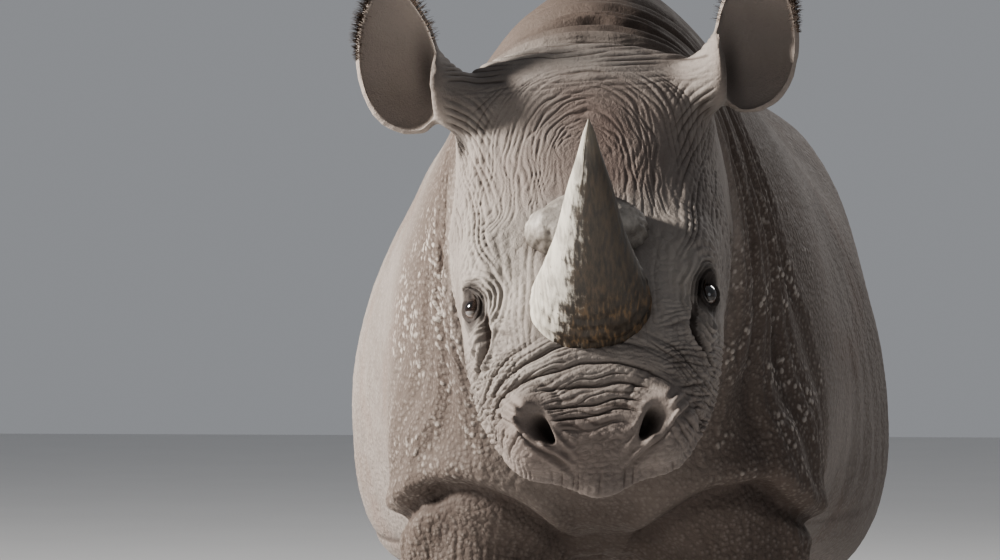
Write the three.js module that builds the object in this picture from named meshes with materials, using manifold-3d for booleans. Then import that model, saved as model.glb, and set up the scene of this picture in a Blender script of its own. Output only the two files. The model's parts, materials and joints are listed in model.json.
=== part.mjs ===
// A black rhinoceros standing still, life size, in millimetres.
// It faces -Y with +Z up, so its left side is +X. The soles stand on z = 0.
// One smooth field holds the whole body. Each named length of it is meshed on a grid of
// its own, then parted from its neighbours by flat cuts. Horns, eyes and nails sit in
// pockets of their own shape.

import * as THREE from 'three';
import { mergeVertices } from 'three/addons/utils/BufferGeometryUtils.js';
import Module from 'manifold-3d';

const wasm = await Module();
wasm.setup();

// ---- Driving dimensions ----

const SHOULDER_HEIGHT = 1580;
const BACK_HEIGHT = 1480;
const RUMP_HEIGHT = 1528;
const BELLY_HEIGHT = 470;
const BARREL_HALF_WIDTH = 492;
const SHOULDER_HALF_WIDTH = 330;
const HIP_HALF_WIDTH = 425;

const HEAD_Y = -1100; // front end of the neck, inside the head
const SHOULDER_Y = -430;
const BARREL_Y = 260;
const HIP_Y = 700;
const RUMP_Y = 1090;

const HEAD_PITCH = THREE.MathUtils.degToRad(58); // face line below the horizontal
const HEAD_ROLL = THREE.MathUtils.degToRad(-3.6); // crown leans to the animal's right
const HEAD_YAW = THREE.MathUtils.degToRad(1.5); // nose turned to the animal's left
const HEAD_LENGTH = 668;
const HEAD_HALF_WIDTH = 188;
const CREST = new THREE.Vector3(0, -1080, 1410); // top of the skull, where the face line starts
const NECK_JOINT = new THREE.Vector3(0, -1150, 1200);

const EYE_RADIUS = 18;
const FRONT_HORN_LENGTH = 402;
const FRONT_HORN_RADIUS = 87;
const REAR_HORN_RADIUS = 84;
const REAR_HORN_HEIGHT = 78; // with the part in the skin
const EAR_HEIGHT = 243;
const EAR_HALF_WIDTH = 64;
const TAIL_END_HEIGHT = 640;
const TUFT_LENGTH = 170;
const NAIL_CLEARANCE = 4; // lower edge of a nail above the floor

const GAP = 0.3; // between the faces of neighbouring parts
const FAR = 3000; // beyond every part of the animal
const WELD = 1e-3; // corners closer than this are one

// How finely each length of the body is faceted: the grid cell it is first meshed on, the
// most that its faces may then stand off the true form, and its longest edge
const TRUNK_FACETS = { cell: 58, standOff: 6.5, longest: 240 };
const NECK_FACETS = { cell: 44, standOff: 3.5, longest: 140 };
const LEG_FACETS = { cell: 38, standOff: 6, longest: 170 };
const HEAD_FACETS = { cell: 19, standOff: 2.3, longest: 75 };
const TAIL_FACETS = { cell: 14, standOff: 3.5, longest: 180 };

// Colours, as the skin, horn and eye show them in daylight
const SKIN = 0x8b7f79;
const PALE_SKIN = 0x9a8f88;
const EAR_SKIN = 0x84766f;
const HORN = 0x4b4238;
const WORN_HORN = 0x9d9384;
const EYE = 0x120c0a;
const NAIL = 0x5d544c;
const TUFT = 0x1d1815;

// ---- Curves and small sums ----

// A smooth curve through [at, value] knots that never overshoots them.
function profile(...knots) {
  const last = knots.length - 1;
  const slope = (i) => (knots[i + 1][1] - knots[i][1]) / (knots[i + 1][0] - knots[i][0]);
  const tangent = knots.map((_, i) => {
    if (i === 0) return slope(0);
    if (i === last) return slope(last - 1);
    const before = slope(i - 1);
    const after = slope(i);
    return before * after <= 0 ? 0 : (2 * before * after) / (before + after);
  });
  return (at) => {
    if (at <= knots[0][0]) return knots[0][1];
    if (at >= knots[last][0]) return knots[last][1];
    let i = 0;
    while (at > knots[i + 1][0]) i += 1;
    const width = knots[i + 1][0] - knots[i][0];
    const t = (at - knots[i][0]) / width;
    const rise = t * t * (3 - 2 * t);
    return (
      knots[i][1] * (1 - rise) +
      knots[i + 1][1] * rise +
      tangent[i] * width * t * (1 - t) * (1 - t) -
      tangent[i + 1] * width * t * t * (1 - t)
    );
  };
}

const SMALL = 1e-6; // below this a point counts as the middle of a form

// Two forms melted together over a blend width.
function melt(a, b, blend) {
  const near = Math.max(blend - Math.abs(a - b), 0) / blend;
  return Math.min(a, b) - (near * near * blend) / 4;
}

// One at the start, none at the end, rounded between as a squarish ellipse is.
function closing(at, start, end, squareness) {
  const t = Math.min(Math.max((at - start) / (end - start), 0), 1);
  return (1 - t ** squareness) ** (1 / squareness);
}

// Distance from a section's outline, along the ray from its centre.
// The section has one half width and a reach of its own up and down.
function sectionDistance(across, rise, halfWidth, up, down, squareUp, squareDown) {
  const reach = rise > 0 ? up : down;
  const square = rise > 0 ? squareUp : squareDown;
  const ratio =
    (Math.abs(across / halfWidth) ** square + Math.abs(rise / reach) ** square) ** (1 / square);
  const radius = Math.hypot(across, rise);
  return ratio < SMALL ? -Math.min(halfWidth, reach) : radius - radius / ratio;
}

function ellipsoidDistance(dx, dy, dz, rx, ry, rz) {
  const ratio = Math.hypot(dx / rx, dy / ry, dz / rz);
  const radius = Math.hypot(dx, dy, dz);
  return ratio < SMALL ? -Math.min(rx, ry, rz) : radius - radius / ratio;
}

// A round bar whose radius runs evenly from one end to the other.
function barDistance(x, y, z, from, to, fromRadius, toRadius) {
  const [dx, dy, dz] = [to[0] - from[0], to[1] - from[1], to[2] - from[2]];
  const along = (x - from[0]) * dx + (y - from[1]) * dy + (z - from[2]) * dz;
  const t = Math.min(Math.max(along / (dx * dx + dy * dy + dz * dz), 0), 1);
  const away = Math.hypot(x - from[0] - t * dx, y - from[1] - t * dy, z - from[2] - t * dz);
  return away - fromRadius - t * (toRadius - fromRadius);
}

// ---- The head's own frame ----
// s runs down the face line from the crest, h stands out from it, and x runs across to the
// animal's right.

const FACE = new THREE.Vector3(0, -Math.cos(HEAD_PITCH), -Math.sin(HEAD_PITCH));
const OUT = new THREE.Vector3(0, -Math.sin(HEAD_PITCH), Math.cos(HEAD_PITCH));

const headTurn = new THREE.Matrix4()
  .makeTranslation(NECK_JOINT)
  .multiply(new THREE.Matrix4().makeRotationZ(HEAD_YAW))
  .multiply(new THREE.Matrix4().makeRotationY(HEAD_ROLL))
  .multiply(new THREE.Matrix4().makeTranslation(NECK_JOINT.clone().negate()));

const headFrame = new THREE.Matrix4()
  .makeBasis(new THREE.Vector3(-1, 0, 0), FACE, OUT)
  .setPosition(CREST)
  .premultiply(headTurn);
const intoHead = headFrame.clone().invert().elements;

// ---- Forms of the body ----

const torso = {
  top: profile(
    [HEAD_Y, 1385], [-1000, 1446], [-850, 1492], [-650, 1550], [SHOULDER_Y, SHOULDER_HEIGHT],
    [-150, 1528], [BARREL_Y, BACK_HEIGHT], [HIP_Y, RUMP_HEIGHT], [RUMP_Y, 1470],
  ),
  bottom: profile(
    [HEAD_Y, 1260], [-1000, 1130], [-880, 1010], [-760, 860], [-620, 715], [SHOULDER_Y, 612],
    [-100, 522], [BARREL_Y, BELLY_HEIGHT], [520, 530], [HIP_Y, 640], [RUMP_Y, 820],
  ),
  halfWidth: profile(
    [HEAD_Y, 150], [-1000, 190], [-880, 216], [-650, 268], [SHOULDER_Y, SHOULDER_HALF_WIDTH],
    [-150, 418], [BARREL_Y, BARREL_HALF_WIDTH], [500, 480], [HIP_Y, HIP_HALF_WIDTH], [RUMP_Y, 330],
  ),
  widest: profile(
    [HEAD_Y, 1300], [-880, 1150], [-650, 1060], [SHOULDER_Y, 980], [BARREL_Y, 858],
    [HIP_Y, 940], [RUMP_Y, 1130],
  ),
  squareTop: profile([HEAD_Y, 2.3], [-850, 2.2], [SHOULDER_Y, 1.75], [BARREL_Y, 1.7], [RUMP_Y, 1.9]),
  squareBottom: profile([HEAD_Y, 2.1], [-650, 2.1], [BARREL_Y, 3.4], [HIP_Y, 2.5], [RUMP_Y, 2.2]),
};

const THINNEST = 0.01; // share of a section left where it closes
const RUMP_ROUNDNESS = 2.6;

function torsoDistance(x, y, z) {
  const scale = Math.max(closing(y, HIP_Y, RUMP_Y, RUMP_ROUNDNESS), THINNEST);
  const middle = torso.widest(y);
  const form = sectionDistance(
    x, z - middle, torso.halfWidth(y) * scale,
    (torso.top(y) - middle) * scale, (middle - torso.bottom(y)) * scale,
    torso.squareTop(y), torso.squareBottom(y),
  );
  return Math.max(form, HEAD_Y - y, y - RUMP_Y);
}

// Legs stand along Z. Each has a line for its middle and a half width and depth.
const foreleg = {
  across: profile([0, 192], [450, 193], [650, 206], [900, 205]),
  along: profile([0, -428], [120, -418], [250, -410], [430, -426], [560, -420], [700, -402], [850, -370]),
  halfWidth: profile(
    [0, 108], [45, 114], [120, 101], [230, 86], [340, 93], [430, 105], [540, 117],
    [660, 142], [780, 145], [1000, 120],
  ),
  halfDepth: profile(
    [0, 120], [45, 127], [120, 108], [230, 93], [340, 98], [430, 107], [540, 117],
    [660, 143], [780, 172], [1000, 170],
  ),
  top: 1100,
  blend: 34,
};

const hindleg = {
  across: profile([0, 190], [430, 186], [620, 202], [800, 218], [1000, 220]),
  along: profile([0, 728], [120, 742], [260, 778], [430, 800], [540, 770], [660, 715], [800, 692], [1100, 745]),
  halfWidth: profile(
    [0, 100], [45, 106], [120, 92], [230, 78], [340, 80], [430, 88], [540, 102],
    [660, 128], [800, 148], [950, 156], [1150, 130],
  ),
  halfDepth: profile(
    [0, 111], [45, 118], [120, 101], [230, 90], [340, 98], [430, 110], [540, 124],
    [660, 176], [800, 222], [950, 240], [1150, 200],
  ),
  top: 1290,
  blend: 70,
};

const LEG_SQUARENESS = 2.3;
const LEG_CLOSING = 250; // length over which a leg closes inside the body

function legDistance(leg, x, y, z) {
  const scale = Math.max(closing(z, leg.top - LEG_CLOSING, leg.top, 2), THINNEST);
  const form = sectionDistance(
    Math.abs(x) - leg.across(z), y - leg.along(z), leg.halfWidth(z) * scale,
    leg.halfDepth(z) * scale, leg.halfDepth(z) * scale, LEG_SQUARENESS, LEG_SQUARENESS,
  );
  return Math.max(form, z - leg.top);
}

// Muscle and skin masses that lie over the torso: middle, half sizes and blend width
const masses = [
  { at: [222, -320, 960], size: [124, 170, 285], blend: 60 }, // shoulder blade
  { at: [238, -345, 800], size: [126, 170, 165], blend: 50 }, // upper arm and elbow
  { at: [130, -500, 800], size: [205, 150, 135], blend: 60 }, // breast in front of the leg
  { at: [285, 655, 1090], size: [125, 240, 260], blend: 120 }, // thigh
  { at: [300, 470, 700], size: [120, 150, 150], blend: 90 }, // fold of the flank
];

// The upper part of the head, down to the upper lip
const SKULL_BACK = -60;
const skull = {
  top: profile(
    [SKULL_BACK, -44], [0, -10], [90, -12], [180, -12], [260, 4], [340, 14], [425, 24], [505, 12],
    [560, -2], [605, -14], [640, -36], [HEAD_LENGTH, -72],
  ),
  bottom: profile(
    [SKULL_BACK, -210], [80, -262], [220, -268], [340, -228], [450, -180], [540, -150], [600, -132],
    [640, -112], [HEAD_LENGTH, -78],
  ),
  halfWidth: profile(
    [SKULL_BACK, 140], [0, 172], [80, 180], [200, 187], [300, HEAD_HALF_WIDTH], [400, 189], [470, 181],
    [530, 164], [575, 142], [615, 105], [645, 60], [HEAD_LENGTH, 16],
  ),
  widest: profile([SKULL_BACK, -120], [200, -138], [400, -134], [560, -90], [HEAD_LENGTH, -75]),
  square: profile([SKULL_BACK, 2.4], [120, 2.6], [360, 2.3], [520, 2.5], [HEAD_LENGTH, 2.2]),
};

function skullDistance(x, s, h) {
  const middle = skull.widest(s);
  const form = sectionDistance(
    x, h - middle, skull.halfWidth(s), skull.top(s) - middle, middle - skull.bottom(s),
    skull.square(s), skull.square(s),
  );
  return Math.max(form, SKULL_BACK - s, s - HEAD_LENGTH);
}

// The lower jaw, from its angle to the chin
const JAW_BACK = 60;
const JAW_LENGTH = 640;
const JAW_SQUARENESS = 2.4;
const jaw = {
  top: profile([JAW_BACK, -130], [400, -110], [540, -92], [JAW_LENGTH, -90]),
  bottom: profile(
    [JAW_BACK, -300], [170, -342], [300, -306], [420, -246], [520, -200], [580, -178], [615, -158],
    [JAW_LENGTH, -128],
  ),
  halfWidth: profile(
    [JAW_BACK, 130], [170, 164], [300, 170], [400, 164], [500, 145], [560, 118], [605, 80], [JAW_LENGTH, 20],
  ),
};

function jawDistance(x, s, h) {
  const top = jaw.top(s);
  const middle = (top + jaw.bottom(s)) / 2;
  const reach = top - middle;
  const square = JAW_SQUARENESS;
  const form = sectionDistance(x, h - middle, jaw.halfWidth(s), reach, reach, square, square);
  return Math.max(form, JAW_BACK - s, s - JAW_LENGTH);
}

// Blend widths where one form runs into the next
const JAW_BLEND = 26;
const NECK_BLEND = 46;
const TAIL_BLEND = 30;
const TAIL_BEND_BLEND = 12;

// Smaller masses of the head, in its own frame as [x, s, h]
const EYE_SPOT = [120, 386, -106]; // behind the middle of the eye, which looks along EYE_GAZE
const EYE_GAZE = [0.56, 0.05, 0.83];
const EYE_SEAT = 12; // its middle lies this far under the lids
const NOSTRIL_AT = [80, 604, -42];
const NOSTRIL_SIZE = [19, 31, 40];
const NOSTRIL_SLANT = 0.5;
const headMasses = [
  { at: [138, 322, -44], size: [46, 70, 44], blend: 36 }, // brow over the eye
  { at: [146, 392, -74], size: [34, 50, 40], blend: 22 }, // lids
  { at: [150, 235, -170], size: [48, 130, 110], blend: 60 }, // cheek
  { at: [84, 588, -62], size: [50, 62, 50], blend: 34 }, // side of the nose
  { at: [150, 30, -62], size: [38, 54, 44], blend: 40 }, // root of the ear
];

function pairDistance(mass, x, u, v) {
  const [across, along, up] = mass.at;
  return ellipsoidDistance(Math.abs(x) - across, u - along, v - up, ...mass.size);
}

function headDistance(px, py, pz) {
  const m = intoHead;
  const x = m[0] * px + m[4] * py + m[8] * pz + m[12];
  const s = m[1] * px + m[5] * py + m[9] * pz + m[13];
  const h = m[2] * px + m[6] * py + m[10] * pz + m[14];
  let form = melt(skullDistance(x, s, h), jawDistance(x, s, h), JAW_BLEND);
  for (const mass of headMasses) form = melt(form, pairDistance(mass, x, s, h), mass.blend);
  return form;
}

// The tail hangs behind the rump, thinner towards its tuft.
const TAIL_LINE = [
  [0, 1030, 1285],
  [0, 1112, 1195],
  [0, 1134, 1040],
  [0, 1130, TAIL_END_HEIGHT],
];
const TAIL_RADII = [48, 38, 29, 17];

function tailDistance(x, y, z) {
  let form = FAR;
  for (let i = 0; i < TAIL_LINE.length - 1; i += 1) {
    const bar = barDistance(x, y, z, TAIL_LINE[i], TAIL_LINE[i + 1], TAIL_RADII[i], TAIL_RADII[i + 1]);
    form = melt(form, bar, TAIL_BEND_BLEND);
  }
  return form;
}

// Below zero inside the animal, above zero outside it.
function body(x, y, z) {
  let form = torsoDistance(x, y, z);
  for (const mass of masses) form = melt(form, pairDistance(mass, x, y, z), mass.blend);
  for (const leg of [foreleg, hindleg]) form = melt(form, legDistance(leg, x, y, z), leg.blend);
  form = melt(form, headDistance(x, y, z), NECK_BLEND);
  return melt(form, tailDistance(x, y, z), TAIL_BLEND);
}

// ---- Meshing the field ----

const STEP = 0.5; // for slopes of the field
const SETTLE_ROUNDS = 4;
const FLATTEST_SLOPE = 0.05;
const RELAX_ROUNDS = 2;
const THIN_ROUNDS = 5;
const SLIMMEST = 0.09; // least area of a face, as a share of its longest edge squared
const SHARPEST_TURN = 0.5; // cosine of the most a face may turn while thinning
const CUT_OFF_SHARE = 0.7; // of a cell: a vertex farther off the surface lies on a cut

// Moves a point onto the surface of the field, along its slope.
function settle(point, limit) {
  for (let round = 0; round < SETTLE_ROUNDS; round += 1) {
    const { x, y, z } = point;
    const value = body(x, y, z);
    const slope = new THREE.Vector3(
      body(x + STEP, y, z) - body(x - STEP, y, z),
      body(x, y + STEP, z) - body(x, y - STEP, z),
      body(x, y, z + STEP) - body(x, y, z - STEP),
    ).divideScalar(2 * STEP);
    const move = slope.multiplyScalar(-value / Math.max(slope.lengthSq(), FLATTEST_SLOPE));
    point.add(move.clampLength(0, limit));
  }
}

// A closed surface net of the body within a box: one vertex in each grid cell that the
// surface crosses, one quad round each grid edge that it crosses.
function bodyNet(low, high, facets) {
  const { cell } = facets;
  const count = [0, 1, 2].map((i) => Math.ceil((high[i] - low[i]) / cell) + 1);
  const index = (i, j, k) => i + count[0] * (j + count[1] * k);
  const place = (...at) => at.map((n, i) => low[i] + n * cell);
  const value = new Float64Array(count[0] * count[1] * count[2]);
  for (let k = 0; k < count[2]; k += 1) {
    for (let j = 0; j < count[1]; j += 1) {
      for (let i = 0; i < count[0]; i += 1) {
        const edge = [i, j, k].some((n, axis) => n === 0 || n === count[axis] - 1);
        value[index(i, j, k)] = edge ? cell : body(...place(i, j, k));
      }
    }
  }

  const vertexOf = new Map();
  const points = [];
  for (let k = 0; k < count[2] - 1; k += 1) {
    for (let j = 0; j < count[1] - 1; j += 1) {
      for (let i = 0; i < count[0] - 1; i += 1) {
        const sum = new THREE.Vector3();
        let crossings = 0;
        for (let axis = 0; axis < 3; axis += 1) {
          for (let corner = 0; corner < 4; corner += 1) {
            const from = [i, j, k];
            from[(axis + 1) % 3] += corner & 1;
            from[(axis + 2) % 3] += corner >> 1;
            const to = [...from];
            to[axis] += 1;
            const a = value[index(...from)];
            const b = value[index(...to)];
            if (a < 0 === b < 0) continue;
            const start = new THREE.Vector3(...place(...from));
            sum.add(start.lerp(new THREE.Vector3(...place(...to)), a / (a - b)));
            crossings += 1;
          }
        }
        if (crossings === 0) continue;
        vertexOf.set(index(i, j, k), points.length);
        points.push(sum.divideScalar(crossings));
      }
    }
  }

  const quads = [];
  for (let k = 0; k < count[2] - 1; k += 1) {
    for (let j = 0; j < count[1] - 1; j += 1) {
      for (let i = 0; i < count[0] - 1; i += 1) {
        for (let axis = 0; axis < 3; axis += 1) {
          const to = [i, j, k];
          if (to[(axis + 1) % 3] === 0 || to[(axis + 2) % 3] === 0) continue;
          to[axis] += 1;
          const inside = value[index(i, j, k)] < 0;
          if (inside === value[index(...to)] < 0) continue;
          const round = [[-1, -1], [0, -1], [0, 0], [-1, 0]].map(([u, v]) => {
            const cellAt = [i, j, k];
            cellAt[(axis + 1) % 3] += u;
            cellAt[(axis + 2) % 3] += v;
            return vertexOf.get(index(...cellAt));
          });
          quads.push(inside ? round : round.reverse());
        }
      }
    }
  }
  relax(points, quads, cell);
  return thinned(points, quads.flatMap((quad) => trianglesOf(quad, points)), facets);
}

// A vertex where the box cuts the body off has no surface near it.
function isCutOff(point, cell) {
  return Math.abs(body(point.x, point.y, point.z)) > cell * CUT_OFF_SHARE;
}

// Evens out the net's vertices, then lays them back on the surface.
function relax(points, quads, cell) {
  const neighbours = points.map(() => new Set());
  for (const quad of quads) {
    quad.forEach((vertex, i) => {
      neighbours[vertex].add(quad[(i + 1) % 4]);
      neighbours[vertex].add(quad[(i + 3) % 4]);
    });
  }
  for (let round = 0; round < RELAX_ROUNDS; round += 1) {
    const means = points.map((point, i) => {
      const mean = new THREE.Vector3();
      for (const n of neighbours[i]) mean.add(points[n]);
      return mean.divideScalar(neighbours[i].size).lerp(point, 0.5);
    });
    points.forEach((point, i) => {
      if (isCutOff(point, cell)) return;
      point.copy(means[i]);
      settle(point, cell / 2);
    });
  }
}

// A quad as two triangles, split along its shorter diagonal.
function trianglesOf([a, b, c, d], points) {
  const even = points[a].distanceTo(points[c]) < points[b].distanceTo(points[d]);
  return even ? [[a, b, c], [a, c, d]] : [[a, b, d], [b, c, d]];
}

// Closes up edges, shortest first, where the faces left still lie close to the body.
function thinned(points, faces, { cell, standOff, longest }) {
  const around = points.map(() => new Set());
  faces.forEach((face, i) => face.forEach((vertex) => around[vertex].add(i)));
  const fixed = points.map((point) => isCutOff(point, cell));
  const ring = (vertex) => {
    const found = new Set();
    for (const i of around[vertex]) for (const other of faces[i]) found.add(other);
    found.delete(vertex);
    return found;
  };
  const triangle = new THREE.Triangle();
  const normalOf = (corners) => triangle.set(...corners).getNormal(new THREE.Vector3());

  const fits = (before, after) => {
    const area = triangle.set(...after).getArea();
    const edges = after.map((corner, i) => corner.distanceTo(after[(i + 1) % 3]));
    const broad = Math.max(...edges);
    if (broad > longest || area < broad * broad * SLIMMEST) return false;
    if (normalOf(before).dot(normalOf(after)) < SHARPEST_TURN) return false;
    const probes = after.map((corner, i) => corner.clone().lerp(after[(i + 1) % 3], 0.5));
    probes.push(triangle.set(...after).getMidpoint(new THREE.Vector3()));
    return probes.every((probe) => Math.abs(body(probe.x, probe.y, probe.z)) < standOff);
  };

  const close = (kept, gone) => {
    if (fixed[kept] || fixed[gone]) return false;
    const keptRing = ring(kept);
    if (!keptRing.has(gone)) return false;
    const shared = [...ring(gone)].filter((vertex) => keptRing.has(vertex));
    if (shared.length !== 2 || shared.some((vertex) => fixed[vertex])) return false;
    const middle = points[kept].clone().lerp(points[gone], 0.5);
    settle(middle, cell / 2);
    const moved = [...around[kept], ...around[gone]];
    const left = moved.filter((i) => !(faces[i].includes(kept) && faces[i].includes(gone)));
    const fine = left.every((i) => {
      const before = faces[i].map((vertex) => points[vertex]);
      const after = faces[i].map((v) => (v === kept || v === gone ? middle : points[v]));
      return fits(before, after);
    });
    if (!fine) return false;
    points[kept] = middle;
    for (const i of new Set(moved)) {
      if (left.includes(i)) {
        faces[i] = faces[i].map((vertex) => (vertex === gone ? kept : vertex));
        around[kept].add(i);
      } else {
        for (const vertex of faces[i]) around[vertex].delete(i);
        faces[i] = null;
      }
    }
    around[gone].clear();
    return true;
  };

  for (let round = 0; round < THIN_ROUNDS; round += 1) {
    const edges = faces.flatMap((face) => (face ? face.map((v, i) => [v, face[(i + 1) % 3]]) : []));
    const length = ([a, b]) => points[a].distanceTo(points[b]);
    const ordered = edges.filter(([a, b]) => a < b).map((edge) => [length(edge), ...edge]);
    ordered.sort((a, b) => a[0] - b[0]);
    for (const [, kept, gone] of ordered) close(kept, gone);
  }

  const number = new Map();
  const left = faces.filter((face) => face);
  left.flat().forEach((vertex) => number.has(vertex) || number.set(vertex, number.size));
  const vertices = [...number.keys()].map((vertex) => points[vertex]);
  return solidOf(vertices, left.flat().map((vertex) => number.get(vertex)));
}

function solidOf(points, triangles) {
  const vertProperties = new Float32Array(points.flatMap((point) => point.toArray()));
  return new wasm.Manifold(
    new wasm.Mesh({ numProp: 3, vertProperties, triVerts: new Uint32Array(triangles) }),
  );
}

// ---- Solids from three.js geometry ----

function solidFrom(geometry, placing = new THREE.Matrix4()) {
  const bare = geometry.clone().applyMatrix4(placing);
  bare.deleteAttribute('normal');
  bare.deleteAttribute('uv');
  const merged = mergeVertices(bare, WELD);
  const triVerts = new Uint32Array(merged.index.array);
  if (placing.determinant() < 0) {
    for (let i = 0; i < triVerts.length; i += 3) {
      [triVerts[i], triVerts[i + 1]] = [triVerts[i + 1], triVerts[i]];
    }
  }
  const vertProperties = new Float32Array(merged.attributes.position.array);
  return new wasm.Manifold(new wasm.Mesh({ numProp: 3, vertProperties, triVerts }));
}

function boxBetween(low, high) {
  const size = high.map((value, i) => value - low[i]);
  const middle = high.map((value, i) => (value + low[i]) / 2);
  return solidFrom(new THREE.BoxGeometry(...size), new THREE.Matrix4().makeTranslation(...middle));
}

// Everything behind a flat face through a point that looks along a direction.
function halfSpace(point, facing) {
  const turn = new THREE.Quaternion().setFromUnitVectors(
    new THREE.Vector3(0, 0, 1), facing.clone().normalize(),
  );
  const middle = point.clone().addScaledVector(facing.clone().normalize(), -FAR / 2);
  const placing = new THREE.Matrix4().compose(middle, turn, new THREE.Vector3(1, 1, 1));
  return solidFrom(new THREE.BoxGeometry(FAR, FAR, FAR), placing);
}

// A closed loft: rings of points in step along it, with a flat or pointed end.
function loft(rings) {
  const sides = rings[0].length;
  const points = rings.flat();
  const triangles = [];
  for (let r = 0; r < rings.length - 1; r += 1) {
    for (let i = 0; i < sides; i += 1) {
      const next = (i + 1) % sides;
      const [a, b] = [r * sides + i, r * sides + next];
      triangles.push(a, b, b + sides, a, b + sides, a + sides);
    }
  }
  const ends = [rings[0], rings[rings.length - 1]].map((ring) => {
    const middle = new THREE.Vector3();
    ring.forEach((point) => middle.add(point));
    return points.push(middle.divideScalar(sides)) - 1;
  });
  const lastRing = (rings.length - 1) * sides;
  for (let i = 0; i < sides; i += 1) {
    const next = (i + 1) % sides;
    triangles.push(ends[0], next, i, ends[1], lastRing + i, lastRing + next);
  }
  return solidOf(points, triangles);
}

function turned(solid, matrix) {
  const mesh = solid.getMesh();
  const point = new THREE.Vector3();
  for (let i = 0; i < mesh.vertProperties.length; i += 3) {
    point.fromArray(mesh.vertProperties, i).applyMatrix4(matrix).toArray(mesh.vertProperties, i);
  }
  return new wasm.Manifold(mesh);
}

// ---- Horns ----
// Each horn is a stack of oval rings in the head's frame, foot first.

function ovalRing([x, s, h], radius, flatness, count) {
  return Array.from({ length: count }, (_, i) => {
    const angle = (i / count) * 2 * Math.PI;
    return new THREE.Vector3(
      x + radius * Math.cos(angle),
      s + radius * flatness * Math.sin(angle),
      h,
    );
  });
}

function horn({ rings, radius, flatness, taper, foot, tip, bow }, extra) {
  const stack = [];
  for (let ring = 0; ring <= rings; ring += 1) {
    const t = ring / rings;
    const middle = foot.map((value, i) => value + (tip[i] - value) * t);
    middle[1] += Math.sin(Math.PI * t) * bow;
    middle[2] += extra * (2 * t - 1);
    stack.push(ovalRing(middle, radius * taper(t) + extra, flatness, HORN_SIDES));
  }
  return turned(loft(stack), headFrame);
}

const HORN_SIDES = 13;
const FRONT_HORN_FOOT = [0, 425, -8]; // x, s, h of the middle of its base, inside the head
const FRONT_HORN_LEAN = [-20, -35]; // of the tip: to the animal's left and back up the face
const HORN_SUNK = 25; // part of the horn that the skin covers

// It tapers from a flared base and bends slightly back to its point.
const frontHornForm = {
  rings: 10,
  radius: FRONT_HORN_RADIUS,
  flatness: 0.85,
  taper: profile(
    [0, 1], [0.08, 0.985], [0.16, 0.87], [0.3, 0.71], [0.46, 0.53], [0.68, 0.345], [0.85, 0.16],
    [1, 0.012],
  ),
  foot: FRONT_HORN_FOOT,
  tip: [
    FRONT_HORN_FOOT[0] + FRONT_HORN_LEAN[0],
    FRONT_HORN_FOOT[1] + FRONT_HORN_LEAN[1],
    FRONT_HORN_LENGTH + HORN_SUNK,
  ],
  bow: 16,
};

// It is worn down to a low oval stump.
const REAR_HORN_FOOT = [0, 302, -22];
const rearHornForm = {
  rings: 4,
  radius: REAR_HORN_RADIUS,
  flatness: 0.54,
  taper: profile([0, 1], [0.45, 0.98], [0.75, 0.86], [0.93, 0.6], [1, 0.25]),
  foot: REAR_HORN_FOOT,
  tip: [REAR_HORN_FOOT[0], REAR_HORN_FOOT[1], REAR_HORN_FOOT[2] + REAR_HORN_HEIGHT],
  bow: 0,
};

const frontHorn = (extra = 0) => horn(frontHornForm, extra);
const rearHorn = (extra = 0) => horn(rearHornForm, extra);

// ---- Ears ----
// A cup on a short round root. It opens forwards and is deepest on its inner side.

const EAR_AT = [246, -1072, 1317]; // middle of the cup's lowest point, before the head turns
const EAR_SPREAD = 26; // how far the cup bows outwards
const EAR_LEAN = 14; // how far its tip stands forwards
const EAR_HALF_DEPTH = 46;
const EAR_WALL = 8;
const EAR_OPENING = 14; // how far the hollow is moved forwards
const EAR_SIDES = 11;
const EAR_RINGS = 6;
const EAR_INNER_BULGE = 0.3;
const EAR_ROOT_SIDES = 8;
const HOLLOW_DEPTH_SHARE = 0.4; // of the wall, taken off the hollow's depth
const earWidth = profile(
  [0, 0.25], [0.06, 0.62], [0.2, 0.9], [0.4, 1], [0.6, 0.9], [0.76, 0.66], [0.9, 0.34], [1, 0.06],
);
const earDepth = profile([0, 0.3], [0.08, 0.6], [0.3, 1], [0.55, 0.9], [0.8, 0.5], [1, 0.1]);

// Middle and radius of each ring of the root, from inside the head outwards
const earRoot = [
  [128, -1052, 1338, 42],
  [176, -1056, 1356, 44],
  [214, -1064, 1376, 46],
  [252, -1066, 1396, 34],
];

function earRing(t, height, inset, forward) {
  return Array.from({ length: EAR_SIDES }, (_, i) => {
    const angle = (i / EAR_SIDES) * 2 * Math.PI;
    const lobe = 1 - EAR_INNER_BULGE * Math.cos(angle);
    const width = Math.max(EAR_HALF_WIDTH * earWidth(t) - inset, 2);
    const depth = Math.max(EAR_HALF_DEPTH * earDepth(t) - inset * HOLLOW_DEPTH_SHARE, 2);
    return new THREE.Vector3(
      EAR_AT[0] + width * Math.cos(angle) + EAR_SPREAD * Math.sqrt(t),
      EAR_AT[1] - forward + depth * Math.sin(angle) * lobe - EAR_LEAN * t,
      EAR_AT[2] + height,
    );
  });
}

function leftEar() {
  const cup = [];
  const hollow = [];
  for (let ring = 0; ring <= EAR_RINGS; ring += 1) {
    const t = ring / EAR_RINGS;
    const hollowHeight = EAR_WALL + t * (EAR_HEIGHT - 2 * EAR_WALL);
    cup.push(earRing(t, t * EAR_HEIGHT, 0, 0));
    hollow.push(earRing(t, hollowHeight, EAR_WALL, EAR_OPENING));
  }
  const root = earRoot.map(([x, y, z, radius]) =>
    Array.from({ length: EAR_ROOT_SIDES }, (_, i) => {
      const angle = (i / EAR_ROOT_SIDES) * 2 * Math.PI;
      return new THREE.Vector3(x, y + radius * Math.cos(angle), z + radius * Math.sin(angle));
    }),
  );
  return loft(cup).add(loft(root)).subtract(loft(hollow));
}

const mirrorX = new THREE.Matrix4().makeScale(-1, 1, 1);

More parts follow.
